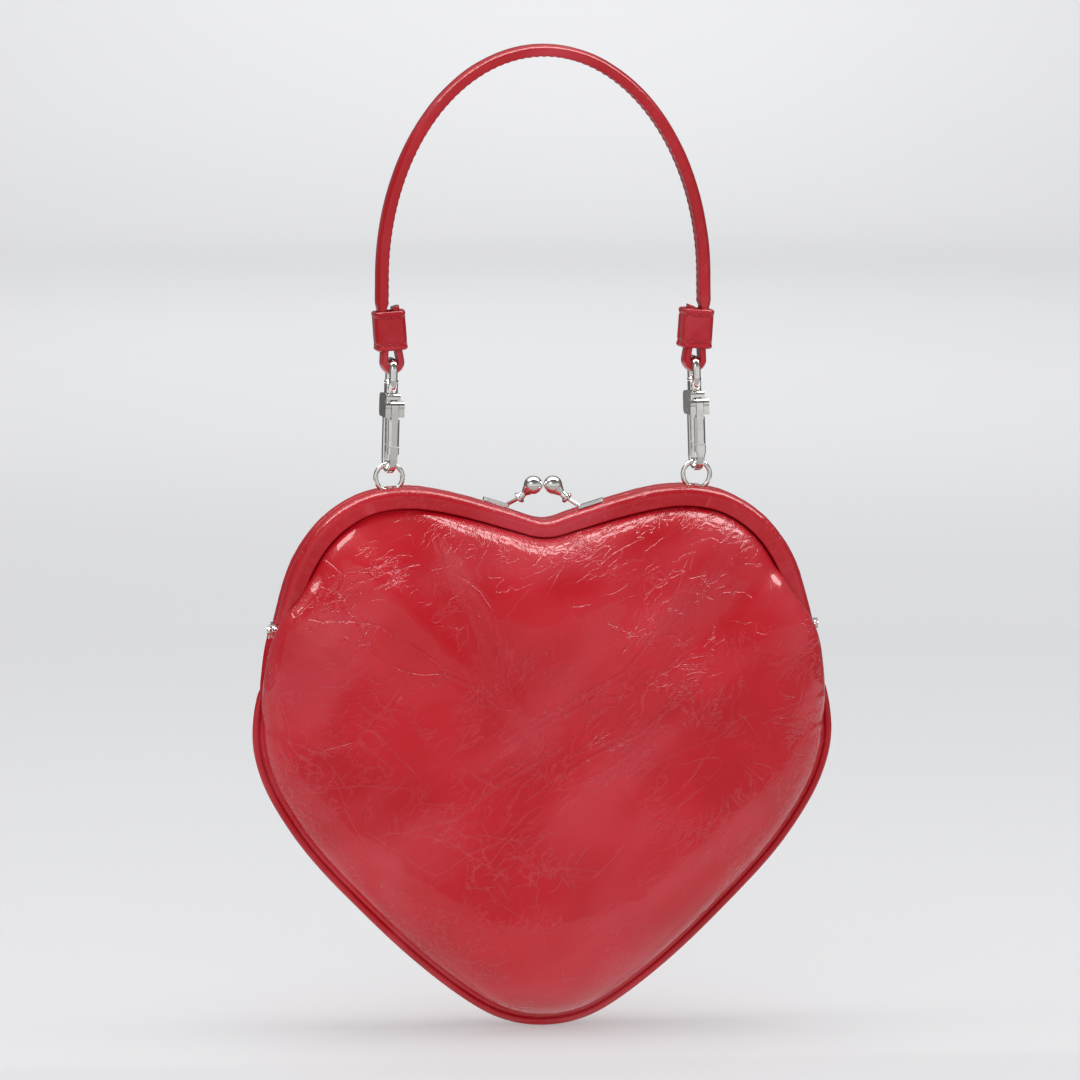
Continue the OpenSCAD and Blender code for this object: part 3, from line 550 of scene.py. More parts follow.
# Creases seen in the photograph: breadth and depth in millimetres, then points in pixels
SEEN_CREASES = [
    (0.9, 0.34, [(345, 574), (337, 590), (336, 612)]),
    (0.8, 0.30, [(330, 560), (345, 574), (372, 566), (400, 562)]),
    (0.9, 0.30, [(344, 606), (358, 622), (368, 645), (386, 660)]),
    (0.8, 0.22, [(386, 660), (400, 668), (440, 672), (478, 688), (500, 708)]),
    (0.7, 0.20, [(400, 640), (422, 650), (450, 672)]),
    (0.6, 0.30, [(362, 572), (380, 566), (392, 558)]),
    (0.6, 0.30, [(366, 580), (388, 572), (422, 566)]),
    (0.6, 0.26, [(372, 590), (392, 580), (408, 574)]),
    (0.7, 0.20, [(440, 530), (443, 548), (450, 570)]),
    (0.8, 0.16, [(452, 572), (480, 590), (492, 612)]),
    (0.8, 0.20, [(655, 641), (672, 636), (684, 646), (690, 656)]),
    (0.7, 0.18, [(655, 678), (672, 668), (684, 660), (705, 654)]),
    (0.8, 0.18, [(600, 620), (640, 640), (660, 652)]),
    (0.9, 0.20, [(500, 740), (560, 706), (620, 672), (650, 640)]),
    (0.8, 0.18, [(470, 770), (530, 730), (590, 700), (640, 690)]),
    (0.9, 0.20, [(520, 800), (580, 760), (640, 730), (700, 680)]),
    (0.8, 0.16, [(420, 850), (460, 810), (500, 780), (560, 745)]),
    (0.8, 0.16, [(560, 790), (600, 772), (640, 742)]),
    (0.7, 0.14, [(300, 760), (330, 745), (360, 740), (395, 770)]),
    (0.7, 0.14, [(290, 740), (320, 752), (350, 790)]),
    (0.8, 0.16, [(350, 720), (380, 735), (420, 780)]),
    (0.8, 0.14, [(620, 790), (660, 760), (710, 740)]),
    (0.8, 0.14, [(430, 880), (470, 850), (500, 838)]),
    (0.8, 0.16, [(470, 830), (520, 840), (560, 828)]),
    (0.8, 0.14, [(690, 560), (672, 600), (650, 640)]),
    (0.8, 0.14, [(720, 570), (700, 600), (690, 640)]),
]
# The table's breadths are drawn a little narrower
BREADTH_SHARE = 0.75
# Fringes of short creases: length in millimetres, slant in degrees, depth, line in pixels
SEEN_FRINGES = [
    (9, 20, 0.13, [(580, 790), (620, 770), (670, 730), (710, 705), (745, 675)]),
    (7, -10, 0.11, [(535, 715), (580, 695), (620, 685)]),
    (10, 25, 0.12, [(690, 840), (720, 815), (745, 790), (760, 770)]),
    (8, 10, 0.11, [(440, 915), (405, 895), (375, 870)]),
    (5, 0, 0.09, [(480, 922), (520, 927), (565, 922)]),
    (12, 10, 0.16, [(786, 700), (796, 730), (803, 772)]),
    (7, -32, 0.16, [(452, 524), (500, 541), (540, 549), (590, 545)]),
    (7, 25, 0.14, [(600, 538), (650, 522), (700, 512)]),
    (13, 10, 0.24, [(708, 512), (732, 528), (752, 552)]),
    (8, 0, 0.16, [(330, 540), (318, 560), (304, 582)]),
    (9, 15, 0.10, [(470, 700), (520, 660), (560, 640)]),
]
# Crackled patches: reach in millimetres, count, heading and its spread in degrees, place
SEEN_CRACKLES = [
    (15, 30, 60, 40, (488, 868)), (13, 24, 110, 40, (545, 880)), (9, 24, 60, 70, (340, 604)),
    (8, 16, 14, 12, (384, 568)), (9, 26, 40, 60, (695, 706)), (14, 26, 42, 14, (600, 740)),
    (12, 22, 42, 14, (540, 770)), (12, 24, 30, 25, (660, 690)), (10, 18, 20, 30, (690, 655)),
    (12, 20, 40, 25, (700, 590)), (11, 18, 50, 40, (360, 650)), (12, 20, 30, 60, (372, 700)),
    (12, 18, 35, 40, (440, 820)), (12, 18, 42, 14, (640, 640)), (11, 14, -25, 30, (300, 760)),
]
FRINGE_SEED = 201
CRACKLE_SEED = 301
# Headings of the creases strewn at random, in degrees
STREWN_HEADINGS = [40, 46, 62, 15, -35, 100]


def from_photo(pixels):
    """Places across and up, in millimetres, of points in the photograph."""
    p = np.asarray(pixels, float)
    x = (p[:, 0] - CENTRE_PX) * MM_PER_PX - ACROSS_SHARE * SEEN_DEPTH
    z = FRAME_TOP_Z - (p[:, 1] - TOP_PX) * MM_PER_PX + DOWN_SHARE * SEEN_DEPTH
    return joined(x, z)


def toward(heading):
    """Unit direction of a heading in radians."""
    return np.array([math.cos(heading), math.sin(heading)])


def bent_crease(start, heading, length, bend, r):
    """Points of one crease that wanders as it goes."""
    points = [np.asarray(start, float)]
    for _ in range(5):
        heading += r.normal(0, bend)
        points.append(points[-1] + length / 5 * toward(heading))
    return np.array(points)


def random_creases(count, seed):
    """Slightly bent creases strewn over a panel, most of them along its diagonal."""
    r = np.random.default_rng(seed)
    made = []
    for _ in range(count):
        start = (r.uniform(-0.9, 0.9) * HALF_W, HINGE_Z - r.uniform(-0.1, 0.62) * BODY_DROP)
        heading = math.radians(r.choice(STREWN_HEADINGS) + r.normal(0, 12))
        path = bent_crease(start, heading, r.uniform(6, 38), 0.16, r)
        made.append((r.uniform(0.4, 0.7), r.uniform(0.03, 0.10), path))
    return made


def fringe(path, length, slant, depth, seed):
    """Short creases side by side across a line, slanted from square to it in degrees."""
    r = np.random.default_rng(seed)
    run = run_of(path)
    made = []
    at = 0.5
    while at < run[-1]:
        spots = at_run([at - 1, at, at + 1], run, path)
        way = spots[2] - spots[0]
        heading = math.atan2(way[1], way[0]) - math.radians(90 + slant + r.normal(0, 18))
        size = length * r.uniform(0.25, 1.25)
        start = spots[1] - 0.4 * size * toward(heading)
        crease = bent_crease(start + r.normal(0, 1.2, 2), heading, size, 0.14, r)
        made.append((r.uniform(0.38, 0.6), depth * r.uniform(0.5, 1.2), crease))
        at += r.uniform(0.7, 2.6)
    return made


def crackle(middle, reach, count, heading, spread, seed):
    """Patch of short crossing creases round one main heading, both in degrees."""
    r = np.random.default_rng(seed)
    made = []
    for _ in range(count):
        start = middle + reach * r.normal(0, 0.5, 2)
        way = math.radians(heading + r.normal(0, spread))
        path = bent_crease(start, way, r.uniform(0.3, 0.9) * reach, 0.25, r)
        made.append((r.uniform(0.38, 0.55), r.uniform(0.06, 0.15), path))
    return made


def seen_creases():
    """Creases of the photographed face: single ones, fringes and crackled patches."""
    made = [
        (BREADTH_SHARE * breadth, cut, from_photo(path)) for breadth, cut, path in SEEN_CREASES
    ]
    for k, (length, slant, depth, path) in enumerate(SEEN_FRINGES):
        made += fringe(from_photo(path), length, slant, depth, FRINGE_SEED + k)
    for k, (reach, count, heading, spread, spot) in enumerate(SEEN_CRACKLES):
        middle = from_photo([spot])[0]
        made += crackle(middle, reach, count, heading, spread, CRACKLE_SEED + k)
    return made


def nearest_on(path, q):
    """Distance of places from a path, how far along it each place's nearest spot lies, as a
    share, and on which hand of it the place is."""
    steps = np.linalg.norm(np.diff(path, axis=0), axis=1)
    best = np.full(len(q), np.inf)
    along, hand = np.zeros(len(q)), np.ones(len(q))
    for a, b, size, start in zip(path[:-1], path[1:], steps, run_of(path)):
        away, way = q - a, b - a
        u = np.clip(away @ way / size**2, 0, 1)
        d = np.linalg.norm(away - u[:, None] * way, axis=1)
        closer = d < best
        best[closer] = d[closer]
        along[closer] = (start + u * size)[closer] / steps.sum()
        hand[closer] = np.sign(way[0] * away[:, 1] - way[1] * away[:, 0])[closer]
    return best, along, hand


def crease_field(x, z, creases):
    """Depth in millimetres that the creases cut at places of the panel, how strong a crease
    is at each, and how far beside the nearest crease each lies."""
    depth, strength = np.zeros_like(x), np.zeros_like(x)
    beside = np.full_like(x, FAR_BESIDE)
    spot = (x, z)
    x = x + 0.6 * noise(spot, 8, 301) + 0.10 * noise(spot, 2.2, 303)
    z = z + 0.6 * noise(spot, 8, 302) + 0.10 * noise(spot, 2.2, 304)
    for breadth, cut, path in creases:
        path = np.asarray(path, float)
        reach = 4 * breadth
        lo, hi = path.min(0) - reach, path.max(0) + reach
        near = np.flatnonzero((x > lo[0]) & (x < hi[0]) & (z > lo[1]) & (z < hi[1]))
        if not len(near):
            continue
        best, along, hand = nearest_on(path, joined(x[near], z[near]))
        taper = np.sqrt(np.clip(4 * along * (1 - along), 0, 1))
        valley = hump(best, breadth) - 0.4 * hump(best, 2.6 * breadth)
        depth[near] += cut * taper * valley
        line = taper * hump(best, 0.7) * min(1, 3.5 * cut + 0.3)
        strength[near] = np.maximum(strength[near], line)
        nearer = best < np.abs(beside[near])
        beside[near[nearer]] = (best * hand)[nearer]
    return depth, strength, beside


def by_place(table, t, column):
    """A column of a table of places, softened along the outline."""
    place = folded(t)
    right = np.asarray(t) < STATIONS / 2
    place = place + right * RIGHT_EARLY * step(place, 7.7, 8.6) * np.clip(10 - place, 0, None)
    return softened(from_table(table, place, column), len(t) / STATIONS * 0.12)


def roundness(t):
    """Powers that shape the bulge between the belly's middle and its fold. The first is low
    where the leather rolls over its edge, and near one where it is drawn tight."""
    signed = (t + STATIONS / 2) % STATIONS - STATIONS / 2
    spread = len(t) / STATIONS * 0.3
    return tuple(softened(from_table(ROUNDNESS, signed, i), spread) for i in (1, 2))


def belly_rings(t, shares, depth, inner):
    """Rings of the bulging face, from the belly's middle out to its fold."""
    inset = by_place(FOLD, t, 1) + inner
    fold_y = by_place(FOLD, t, 2)
    edge = inside(t, inset)
    reach = np.linalg.norm(edge - BELLY_MIDDLE, axis=-1)
    power, flat = roundness(t)
    rings = []
    for share in shares:
        p = BELLY_MIDDLE + (edge - BELLY_MIDDLE) * (share - inner / reach)[:, None]
        y = fold_y + (depth - fold_y) * (1 - share**flat) ** power - inner
        rings.append(at_depth(p, -y))
    return np.array(rings)


def flap_ring(t, table, thick):
    """Ring of the flap behind the fold."""
    p = inside(t, by_place(table, t, 1))
    return at_depth(p, -(by_place(table, t, 2) - thick))


def edge_distance(t, shares):
    """Distance in millimetres of each ring's points from the fold."""
    edge = inside(t, by_place(FOLD, t, 1))
    reach = np.linalg.norm(edge - BELLY_MIDDLE, axis=-1)
    return (1 - shares)[:, None] * reach


def panel_relief(t, grid, shares, seed, creases):
    """How far the leather stands in or out along its normal, how creased it is, and how far
    beside its nearest crease each place lies."""
    x, z = grid[..., 0], grid[..., 2]
    off = edge_distance(t, shares)
    calm = step(off, 2, 18)
    place = np.broadcast_to(folded(t), x.shape)
    side = np.where(t > STATIONS / 2, -1.0, 1.0)
    along, across = turned(x, z, DIAGONAL)
    out = FINE_LUMP_H * noise((x, z), 7, seed + 2) * calm
    for k, (height, size) in enumerate(BELLY_LUMPS):
        out += height * noise((along, across), size, seed + k) * calm
    # Broad ridge up the diagonal, steep on its lower side
    line = from_photo(RIDGE_LINE)
    crest_along, crest_across = (v.mean() for v in turned(line[:, 0], line[:, 1], DIAGONAL))
    beyond = across - crest_across
    ridge = np.where(beyond > 0, hump(beyond, 17), hump(beyond, 7))
    out += RIDGE_H * ridge * np.exp(-(((along - crest_along) / 46) ** 4)) * calm
    # Gathers where the leather goes under the frame
    at_frame = step(place, 9.6, 8.4)
    run = np.broadcast_to(t * STATION_MM, x.shape)
    slant = run + 0.35 * off
    lumps = noise((slant, off), (5.5, 22), seed + 3)
    folds = noise((slant + 40, off), (2.6, 12), seed + 4)
    patch = 0.35 + 0.65 * step(noise((run, 0), (26, 9), seed + 5), -0.3, 0.4)
    crowded = from_table(CROWDED, place * side)
    near = hump(off - 4.5, 6.5) * at_frame * patch * crowded
    out += near * (GATHER_H * lumps - GATHER_CUT * hump(folds, 0.16))
    # Upright folds below the hinges
    at_side = step(place, 8.8, 9.8) * step(place, 13.6, 12.2)
    upright = noise((off + 0.1 * z, z * 0.12), (6.0, 5.0), seed + 6)
    out += UPRIGHT_FOLD_H * upright * at_side * step(off, 1.5, 8) * hump(off, 26)
    # Short wrinkles across the rim, low at the sides
    low_side = hump(place - 13.4, 0.9) * (0.55 + 0.45 * side)
    short = noise((run, off), (3.2, 14), seed + 7)
    out += RIM_WRINKLE_H * short * low_side * hump(off - 4, 7)
    fields = crease_field(x.ravel(), z.ravel(), creases)
    cut, strength, beside = (values.reshape(x.shape) for values in fields)
    out -= cut * step(off, 1, 6)
    return out, np.clip(strength, 0, 1), beside


def make_panel(name, half, seed, creases):
    """One face of the bag: a closed leather shell with its folds and creases."""
    t = np.arange(ROUND_SPOTS) * STATIONS / ROUND_SPOTS
    u = np.arange(1, OUT_RINGS + 1) / OUT_RINGS
    shares = 1 - (1 - u) ** CROWD
    grid = belly_rings(t, shares, BELLY_Y - RELIEF_ROOM, 0)
    relief, strength, beside = panel_relief(t, grid, shares, seed, creases)
    normals = grid_normals(grid, True)
    normals[normals[..., 1] > 0] *= -1
    shown = grid + relief[..., None] * normals
    flap = np.array([flap_ring(t, RETURN, 0), flap_ring(t, TUCK, 0), flap_ring(t, TUCK, PANEL_T)])
    hidden = belly_rings(t, HIDDEN_SHARES, BELLY_Y - RELIEF_ROOM, PANEL_T)
    rings = np.concatenate([shown, flap, hidden])
    rows = len(rings)
    points = np.vstack([rings.reshape(-1, 3), shown[0].mean(0), hidden[-1].mean(0)])
    faces = square_faces(rows, ROUND_SPOTS, True)
    last, count = (rows - 1) * ROUND_SPOTS, rows * ROUND_SPOTS
    for j in range(ROUND_SPOTS):
        k = (j + 1) % ROUND_SPOTS
        faces.append([count, k, j])
        faces.append([count + 1, last + j, last + k])
    marks = np.zeros((2, len(points)))
    marks[:, : strength.size] = strength.ravel(), beside.ravel()
    points = points * [1, -HALVES[half], 1]
    obj = add_mesh(name, points, faces, BODY_LEATHER, crease=marks[0], beside=marks[1])
    face_outward(obj)
    return obj


def join_halves(obj):
    """Bakes the placement of a front-half piece into its points, leaving it on no body."""
    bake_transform(obj)


front_creases = seen_creases() + random_creases(72, 5)
front_panel = make_panel("front_panel_leather", "front", 11, front_creases)
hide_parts("front_panel")
join_halves(front_panel)
back_panel = make_panel("back_panel_leather", "back", 47, random_creases(190, 8))
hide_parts("back_panel")
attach(back_panel, "bag")


# Sides, piping and lining
GUSSET_T = 0.9
# How many places beyond the frame's ends the gussets begin and end, and the piping and its
# flange begin
GUSSET_FROM = 0.22
GUSSET_TO = 2.7
PIPING_FROM = 1.7
FLANGE_FROM = 2.2
PIPING_SIDES = 20
# Places along the outline, with how far inside it the gusset's edges lie and half its width
GUSSET_EDGE = [(10, 4.6, 5.6), (11, 4.0, 5.0), (12, 3.4, 3.0), (12.8, 3.3, 1.6)]
# Places with how far the gusset bulges outward
GUSSET_BULGE = [(10, 1.6), (10.9, 1.4), (11.4, 2.8), (12, 2.4), (12.8, 0.9)]
FLANGE_HALF_T = 1.15
# Places with how far inside the outline the lining ends, and how far in front
LINING_EDGE = [(0, 5.6, 4.6), (9.5, 5.6, 4.6), (11, 5.4, 2.9), (13, 5.0, 0.9), (22, 5.0, 0.9)]
LINING_SHARES = np.array([0.04, 0.15, 0.3, 0.45, 0.6, 0.72, 0.82, 0.9, 0.95, 0.98, 1])
LINING_SPOTS = 176
# Depth that the lining keeps clear behind the belly's creases
LINING_ROOM = 1.5
# How far the lining's two faces lie behind the panel's back, and its thickness at the end
LINING_BEHIND = (1.6, 2.2)
LINING_END_T = 0.55


def make_gusset(side):
    """Side strip between the panels, folded in along its middle."""
    t = np.linspace(FRAME_END + GUSSET_FROM, FRAME_END + GUSSET_TO, 60)
    inset, half_y = (from_table(GUSSET_EDGE, t, i) for i in (1, 2))
    bulge = from_table(GUSSET_BULGE, t)
    v = np.linspace(-1, 1, 25)
    rings = []
    for place, deep, wide, out in zip(t, inset, half_y, bulge):
        crown = out * (1 - v**2) - 0.5 * out * hump(v, 0.22)
        ripple = 0.18 * noise((v * wide, place * STATION_MM), (3, 6), 71)
        outer = inside(place, deep - crown + ripple * (1 - v**2))
        inner = inside(place, deep - crown + GUSSET_T)
        rings.append(np.concatenate([at_depth(outer, v * wide), at_depth(inner, v * wide)[::-1]]))
    rings = np.array(rings) * [SIDES[side], 1, 1]
    obj = swept(f"{side}_gusset_leather", rings, BODY_LEATHER)
    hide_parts(f"{side}_gusset")
    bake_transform(obj)


def make_piping():
    """Leather-covered cord round the lower seam."""
    t = np.arange(FRAME_END + PIPING_FROM, STATIONS - FRAME_END - PIPING_FROM, 0.05)
    around = np.arange(PIPING_SIDES) * 2 * math.pi / PIPING_SIDES
    rings = []
    for place in t:
        ends = min(place - t[0], t[-1] - place)
        r = PIPING_R * (0.55 + 0.45 * float(step(ends, 0, 0.8)))
        sunk = PIPING_R + 1.4 * float(step(ends, 0.7, 0))
        swell = 1 + 0.02 * noise((place * 16, around * 2), (9, 2), 83)
        p = inside(place, sunk + r * np.cos(around) * swell)
        rings.append(at_depth(p, r * np.sin(around) * swell))
    obj = swept("piping_cord", rings, CORD_LEATHER)
    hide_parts("piping")
    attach(obj, "bag")


def make_seam_flange():
    """Turned edges of both panels, sewn to the piping."""
    t = np.arange(FRAME_END + FLANGE_FROM, STATIONS - FRAME_END - FLANGE_FROM, 0.1)
    a = inside(t, 2 * PIPING_R - 0.35)
    b = inside(t, 2 * PIPING_R + 2.6)
    corners = ((a, -1), (a, 1), (b, 1), (b, -1))
    rings = np.stack([at_depth(p, y * FLANGE_HALF_T) for p, y in corners], axis=1)
    obj = swept("seam_flange", rings, CORD_LEATHER)
    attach(obj, "bag")


def make_lining(half):
    """Cloth lining inside one panel."""
    t = np.arange(LINING_SPOTS) * STATIONS / LINING_SPOTS
    outer, inner = (
        belly_rings(t, LINING_SHARES, BELLY_Y - LINING_ROOM, PANEL_T + behind)
        for behind in LINING_BEHIND
    )
    ripple = 0.5 * noise((outer[..., 0], outer[..., 2]), (16, 30), 31)
    for rings in (outer, inner):
        rings[..., 1] += np.abs(ripple) * step(1 - LINING_SHARES, 0.02, 0.2)[:, None]
    inset, forward = (from_table(LINING_EDGE, folded(t), i) for i in (1, 2))
    end = at_depth(inside(t, inset), -forward)
    rings = np.concatenate([outer, [end, end + [0, LINING_END_T, 0]], inner[::-1]])
    obj = swept(f"{half}_lining_cloth", rings * [1, -HALVES[half], 1], LINING_FINISH)
    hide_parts(f"{half}_lining")
    if half == "front":
        join_halves(obj)
    else:
        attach(obj, "bag")


for side in SIDES:
    make_gusset(side)
make_piping()
make_seam_flange()
for half in HALVES:
    make_lining(half)

# Leather over the frame
COVER_T = 1.0
FRAME_FACE = 7.3
FRAME_ROUND = 3.5
# How much less the leather reaches over the face than the frame's own height
FACE_SHORT = 0.35
NOTCH_FACE_SHARE = 0.85
# Length of frame between two places, roughly
FRAME_STATION_MM = 12.0
COVER_SPOTS = 521
# Counts of points over the rounded top and down each wall of the cover's two faces
OUTER_COUNTS = (25, 8)
INNER_COUNTS = (17, 4)
# Opening round each ring and, in front, round its lug: half the width and how deep it parts
POCKET_HALF_W = 6.1
POCKET_PART = 1.35
LUG_HALF_W = 1.9
LUG_PART = 1.15


def face_at(t):
    """Height of the leather over the frame's face, which is less at the notch."""
    share = NOTCH_FACE_SHARE + (1 - NOTCH_FACE_SHARE) * np.minimum(1, folded(t) / 3)
    return FRAME_FACE * share - FACE_SHORT


def arch(face, inset, count, wall):
    """Half a cover's section, as depth from the outer edge and place across it."""
    h = FRAME_DEPTH / 2 - inset
    a = np.linspace(0, math.pi, count)
    depth = FRAME_ROUND - (FRAME_ROUND - inset) * np.sin(a)
    across = -h * np.cos(a)
    down = np.linspace(1, 0, wall, endpoint=False)[:, None]
    low = np.array([[face, -h]]) * down + np.array([[FRAME_ROUND, -h]]) * (1 - down)
    high = np.array([[face, h]]) * down[::-1] + np.array([[FRAME_ROUND, h]]) * (1 - down[::-1])
    return np.vstack([low, joined(depth, across), high])


def cover_section(face):
    """Closed section of the leather: outside, rolled lips and inside."""
    outer = arch(face, 0, *OUTER_COUNTS)
    inner = arch(face, COVER_T, *INNER_COUNTS)[::-1]
    turn = np.linspace(0, math.pi, 6)[1:-1]
    lip_r = COVER_T / 2
    middle = FRAME_DEPTH / 2 - lip_r
    high, low = (
        [(face + lip_r * math.sin(a), side * middle + lip_r * math.cos(a)) for a in turn]
        for side in (1, -1)
    )
    return np.vstack([outer, high, inner, low])


def make_cover(half):
    """Leather drawn over one half of the frame, parted round the rings."""
    t = np.linspace(-FRAME_END, FRAME_END, COVER_SPOTS)
    sections = np.array([cover_section(float(face_at(place))) for place in t])
    rings = np.array([
        at_depth(inside(place, section[:, 0]), BEAD_Y + section[:, 1])
        for place, section in zip(t, sections)
    ])
    deep = sections[..., 0]
    run = np.broadcast_to((t * FRAME_STATION_MM)[:, None], deep.shape)
    where = (run, rings[..., 1], deep)
    seed = 17 if half == "front" else 29
    lumps = 0.07 * noise(where, (7, 6, 6), seed) + 0.05 * noise(where, (2.2, 5, 5), seed + 1)
    thin = noise((run + 0.2 * deep,), 9, seed + 2)
    line = hump(thin, 0.035) * step(noise(where, 5, seed + 3), -0.1, 0.4)
    normals = grid_normals(rings, True)
    facing = ((rings - rings.mean(1)[:, None]) * normals).sum(-1, keepdims=True)
    normals = np.where(facing < 0, -normals, normals)
    outside = np.zeros(rings.shape[1], bool)
    outside[: len(arch(1, 0, *OUTER_COUNTS))] = True
    relief = (lumps - 0.12 * line) * outside
    rings = rings + relief[..., None] * normals
    near = np.abs(np.abs(rings[..., 0]) - RING_X)
    fade = step(deep, 8.5, 6.0)
    part = POCKET_PART * step(near, POCKET_HALF_W + 1.4, POCKET_HALF_W) * fade
    if half == "front":
        part += LUG_PART * step(near, LUG_HALF_W + 0.9, LUG_HALF_W) * fade
    thick = np.where(outside, 0, COVER_T * 0.6)
    rings[..., 1] = np.maximum(rings[..., 1], part + thick * (part > 0.2))
    rings[..., 1] *= HALVES[half]
    obj = swept(f"{half}_frame_leather", rings, FRAME_LEATHER, crease=0.7 * line * outside)
    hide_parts(f"{half}_frame_cover")
    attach(obj, "front_frame" if half == "front" else "bag")


for half in HALVES:
    make_cover(half)

# Handle
STRAP_T = 4.4
STRAP_END_T = 2.7
ARCH_X = STRAP_HI[0] - STRAP_T / 2
ARCH_H = 84.6
ARCH_Z = STRAP_T - ARCH_H
EYE_WIRE_R = 1.5
CHAIN_LEAN = math.radians(1.6)
KEEPER_LEAN = math.radians(4)
KEEPER_H = 14.3
KEEPER_WALL = 1.2
LEAN_UP = np.array([math.sin(KEEPER_LEAN), math.cos(KEEPER_LEAN)])
LEAN_OUT = np.array([math.cos(KEEPER_LEAN), -math.sin(KEEPER_LEAN)])
LOOP_R = EYE_WIRE_R + 0.3 + STRAP_END_T / 2
LAYER_OFF = LOOP_R - 0.5
RING_TOP_Z = RING_HI[2] - RING_HI[1]
LOOP_Z = EYE_HI[2] - EYE_WIRE_R
LOOP_AT = np.array([RING_X - (LOOP_Z - RING_TOP_Z) * math.tan(CHAIN_LEAN), LOOP_Z])
KEEPER_AT = LOOP_AT + (LOOP_R + (STRAP_END_T - 0.3) / 2 + KEEPER_H / 2) * LEAN_UP
KEEPER_IN_W = 2 * (LAYER_OFF + STRAP_END_T / 2 + 0.4)
KEEPER_IN_D = STRAP_W + 0.6
STITCH_PITCH = 2.8
STITCH_PULL = 0.10
# How far from the strap's ends its stitches stop
STITCH_STOP = 45
STRAP_THREAD_R = 0.21
# Length of the strap's stitches as a share of their pitch, and their rows as one of its width
STITCH_SHARE = 0.78
STITCH_ROW = 0.37
KEEPER_THREAD_R = 0.26
KEEPER_STITCHES = 14
KEEPER_STITCH_SHARE = 0.74
KEEPER_LINE_AT = KEEPER_H / 2 - 2.3


def strap_half():
    """Right half of the strap from its apex to its free end: places and thickness."""
    half = KEEPER_H / 2
    top_out = KEEPER_AT + half * LEAN_UP + LAYER_OFF * LEAN_OUT
    low_out = KEEPER_AT - half * LEAN_UP + LAYER_OFF * LEAN_OUT
    low_in = KEEPER_AT - half * LEAN_UP - LAYER_OFF * LEAN_OUT
    top_in = KEEPER_AT + (half + 1.4) * LEAN_UP - LAYER_OFF * LEAN_OUT
    rise = ARCH_H - STRAP_T / 2
    places = []
    for a in np.radians(np.linspace(90, 0, 90)):
        places.append((ARCH_X * math.cos(a), ARCH_Z + rise * math.sin(a), STRAP_T))
    end = np.array([ARCH_X, ARCH_Z])
    for f in np.linspace(0, 1, 12)[1:]:
        ease = float(step(f, 0, 1))
        shift = end + (top_out - end) * [ease, f]
        places.append((*shift, STRAP_T + (STRAP_END_T - STRAP_T) * float(step(f, 0.7, 1.1))))
    for f in np.linspace(0, 1, 8)[1:]:
        places.append((*(top_out + (low_out - top_out) * f), STRAP_END_T))
    for a in np.radians(np.linspace(0, 180, 25)):
        p = LOOP_AT + LOOP_R * (math.cos(a) * LEAN_OUT - math.sin(a) * LEAN_UP)
        places.append((*p, STRAP_END_T))
    for f in np.linspace(0, 1, 9):
        places.append((*(low_in + (top_in - low_in) * f), STRAP_END_T))
    return places


def strap_section():
    """Section of the strap, as shares of its width and thickness: a flat inner face with
    round edges, short upright sides and a rolled outer face."""
    points = []
    for side, start in ((-1, 180), (1, 270)):
        for a in np.radians(np.linspace(start, start + 90, 6)):
            points.append((side * 0.45 + 0.05 * math.cos(a), -0.38 + 0.12 * math.sin(a)))
    points += [(0.5, -0.1), (0.497, -0.02)]
    for a in np.radians(np.linspace(4, 176, 21)):
        points.append((0.5 * math.cos(a), 0.03 + 0.47 * math.sin(a)))
    points += [(-0.497, -0.02), (-0.5, -0.1)]
    return np.array(points)


def strap_path():
    """Places, thickness, headings and running length along the whole strap."""
    half = np.array(strap_half())
    path = np.vstack([half[:0:-1] * [-1, 1, 1], half])
    heading = np.gradient(path[:, :2], axis=0)
    heading /= np.linalg.norm(heading, axis=1, keepdims=True)
    return path, heading, run_of(path[:, :2])


def make_strap():
    """Rolled leather strap, looped through both eyes."""
    path, heading, run = strap_path()
    section = strap_section()
    fine = np.arange(0, run[-1], 0.55)
    x, z, thick = at_run(fine, run, path).T
    hx, hz = (softened(h, 2) for h in at_run(fine, run, heading).T)
    size = np.hypot(hx, hz)
    hx, hz = hx / size, hz / size
    rings = []
    middle = run[-1] / 2
    for i, s in enumerate(fine):
        pull = STITCH_PULL * abs(math.sin(math.pi * (s - middle) / STITCH_PITCH))
        deep = section[:, 1] * thick[i]
        at_edge = (np.abs(section[:, 0]) > 0.42) & (section[:, 1] < -0.2)
        deep = deep - pull * at_edge * (abs(s - middle) < middle - STITCH_STOP)
        uneven = 0.05 * noise((s, section[:, 0] * 10), (8, 4), 61)
        n = deep + uneven * (section[:, 1] > 0)
        rings.append(joined(x[i] - hz[i] * n, section[:, 0] * STRAP_W, z[i] + hx[i] * n))
    obj = swept("strap_leather", rings, STRAP_LEATHER)
    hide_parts("handle_strap")
    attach(obj, "handle")


def stitch_mesh(name, stitches, radius, body):
    """Sewing stitches as short bent threads: each is a middle, a direction, a way out of
    the leather and a length."""
    sides, steps = 8, 7
    points, faces = [], []
    for middle, direction, out, length in stitches:
        d, n = np.asarray(direction, float), np.asarray(out, float)
        d, n = d / np.linalg.norm(d), n / np.linalg.norm(n)
        across = np.cross(d, n)
        first = len(points)
        for i in range(steps):
            u = -1 + 2 * i / (steps - 1)
            r = radius * (1 - 0.45 * u**4)
            centre = np.asarray(middle) + d * u * length / 2 + n * radius * (0.45 - 1.25 * u**4)
            for j in range(sides):
                a = 2 * math.pi * j / sides
                points.append(centre + r * (math.cos(a) * across + math.sin(a) * n))
        faces += square_faces(steps, sides, True, first)
        faces.append([first + j for j in range(sides)][::-1])
        faces.append([first + (steps - 1) * sides + j for j in range(sides)])
    obj = add_mesh(name, points, faces, THREAD_FINISH)
    face_outward(obj)
    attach(obj, body)


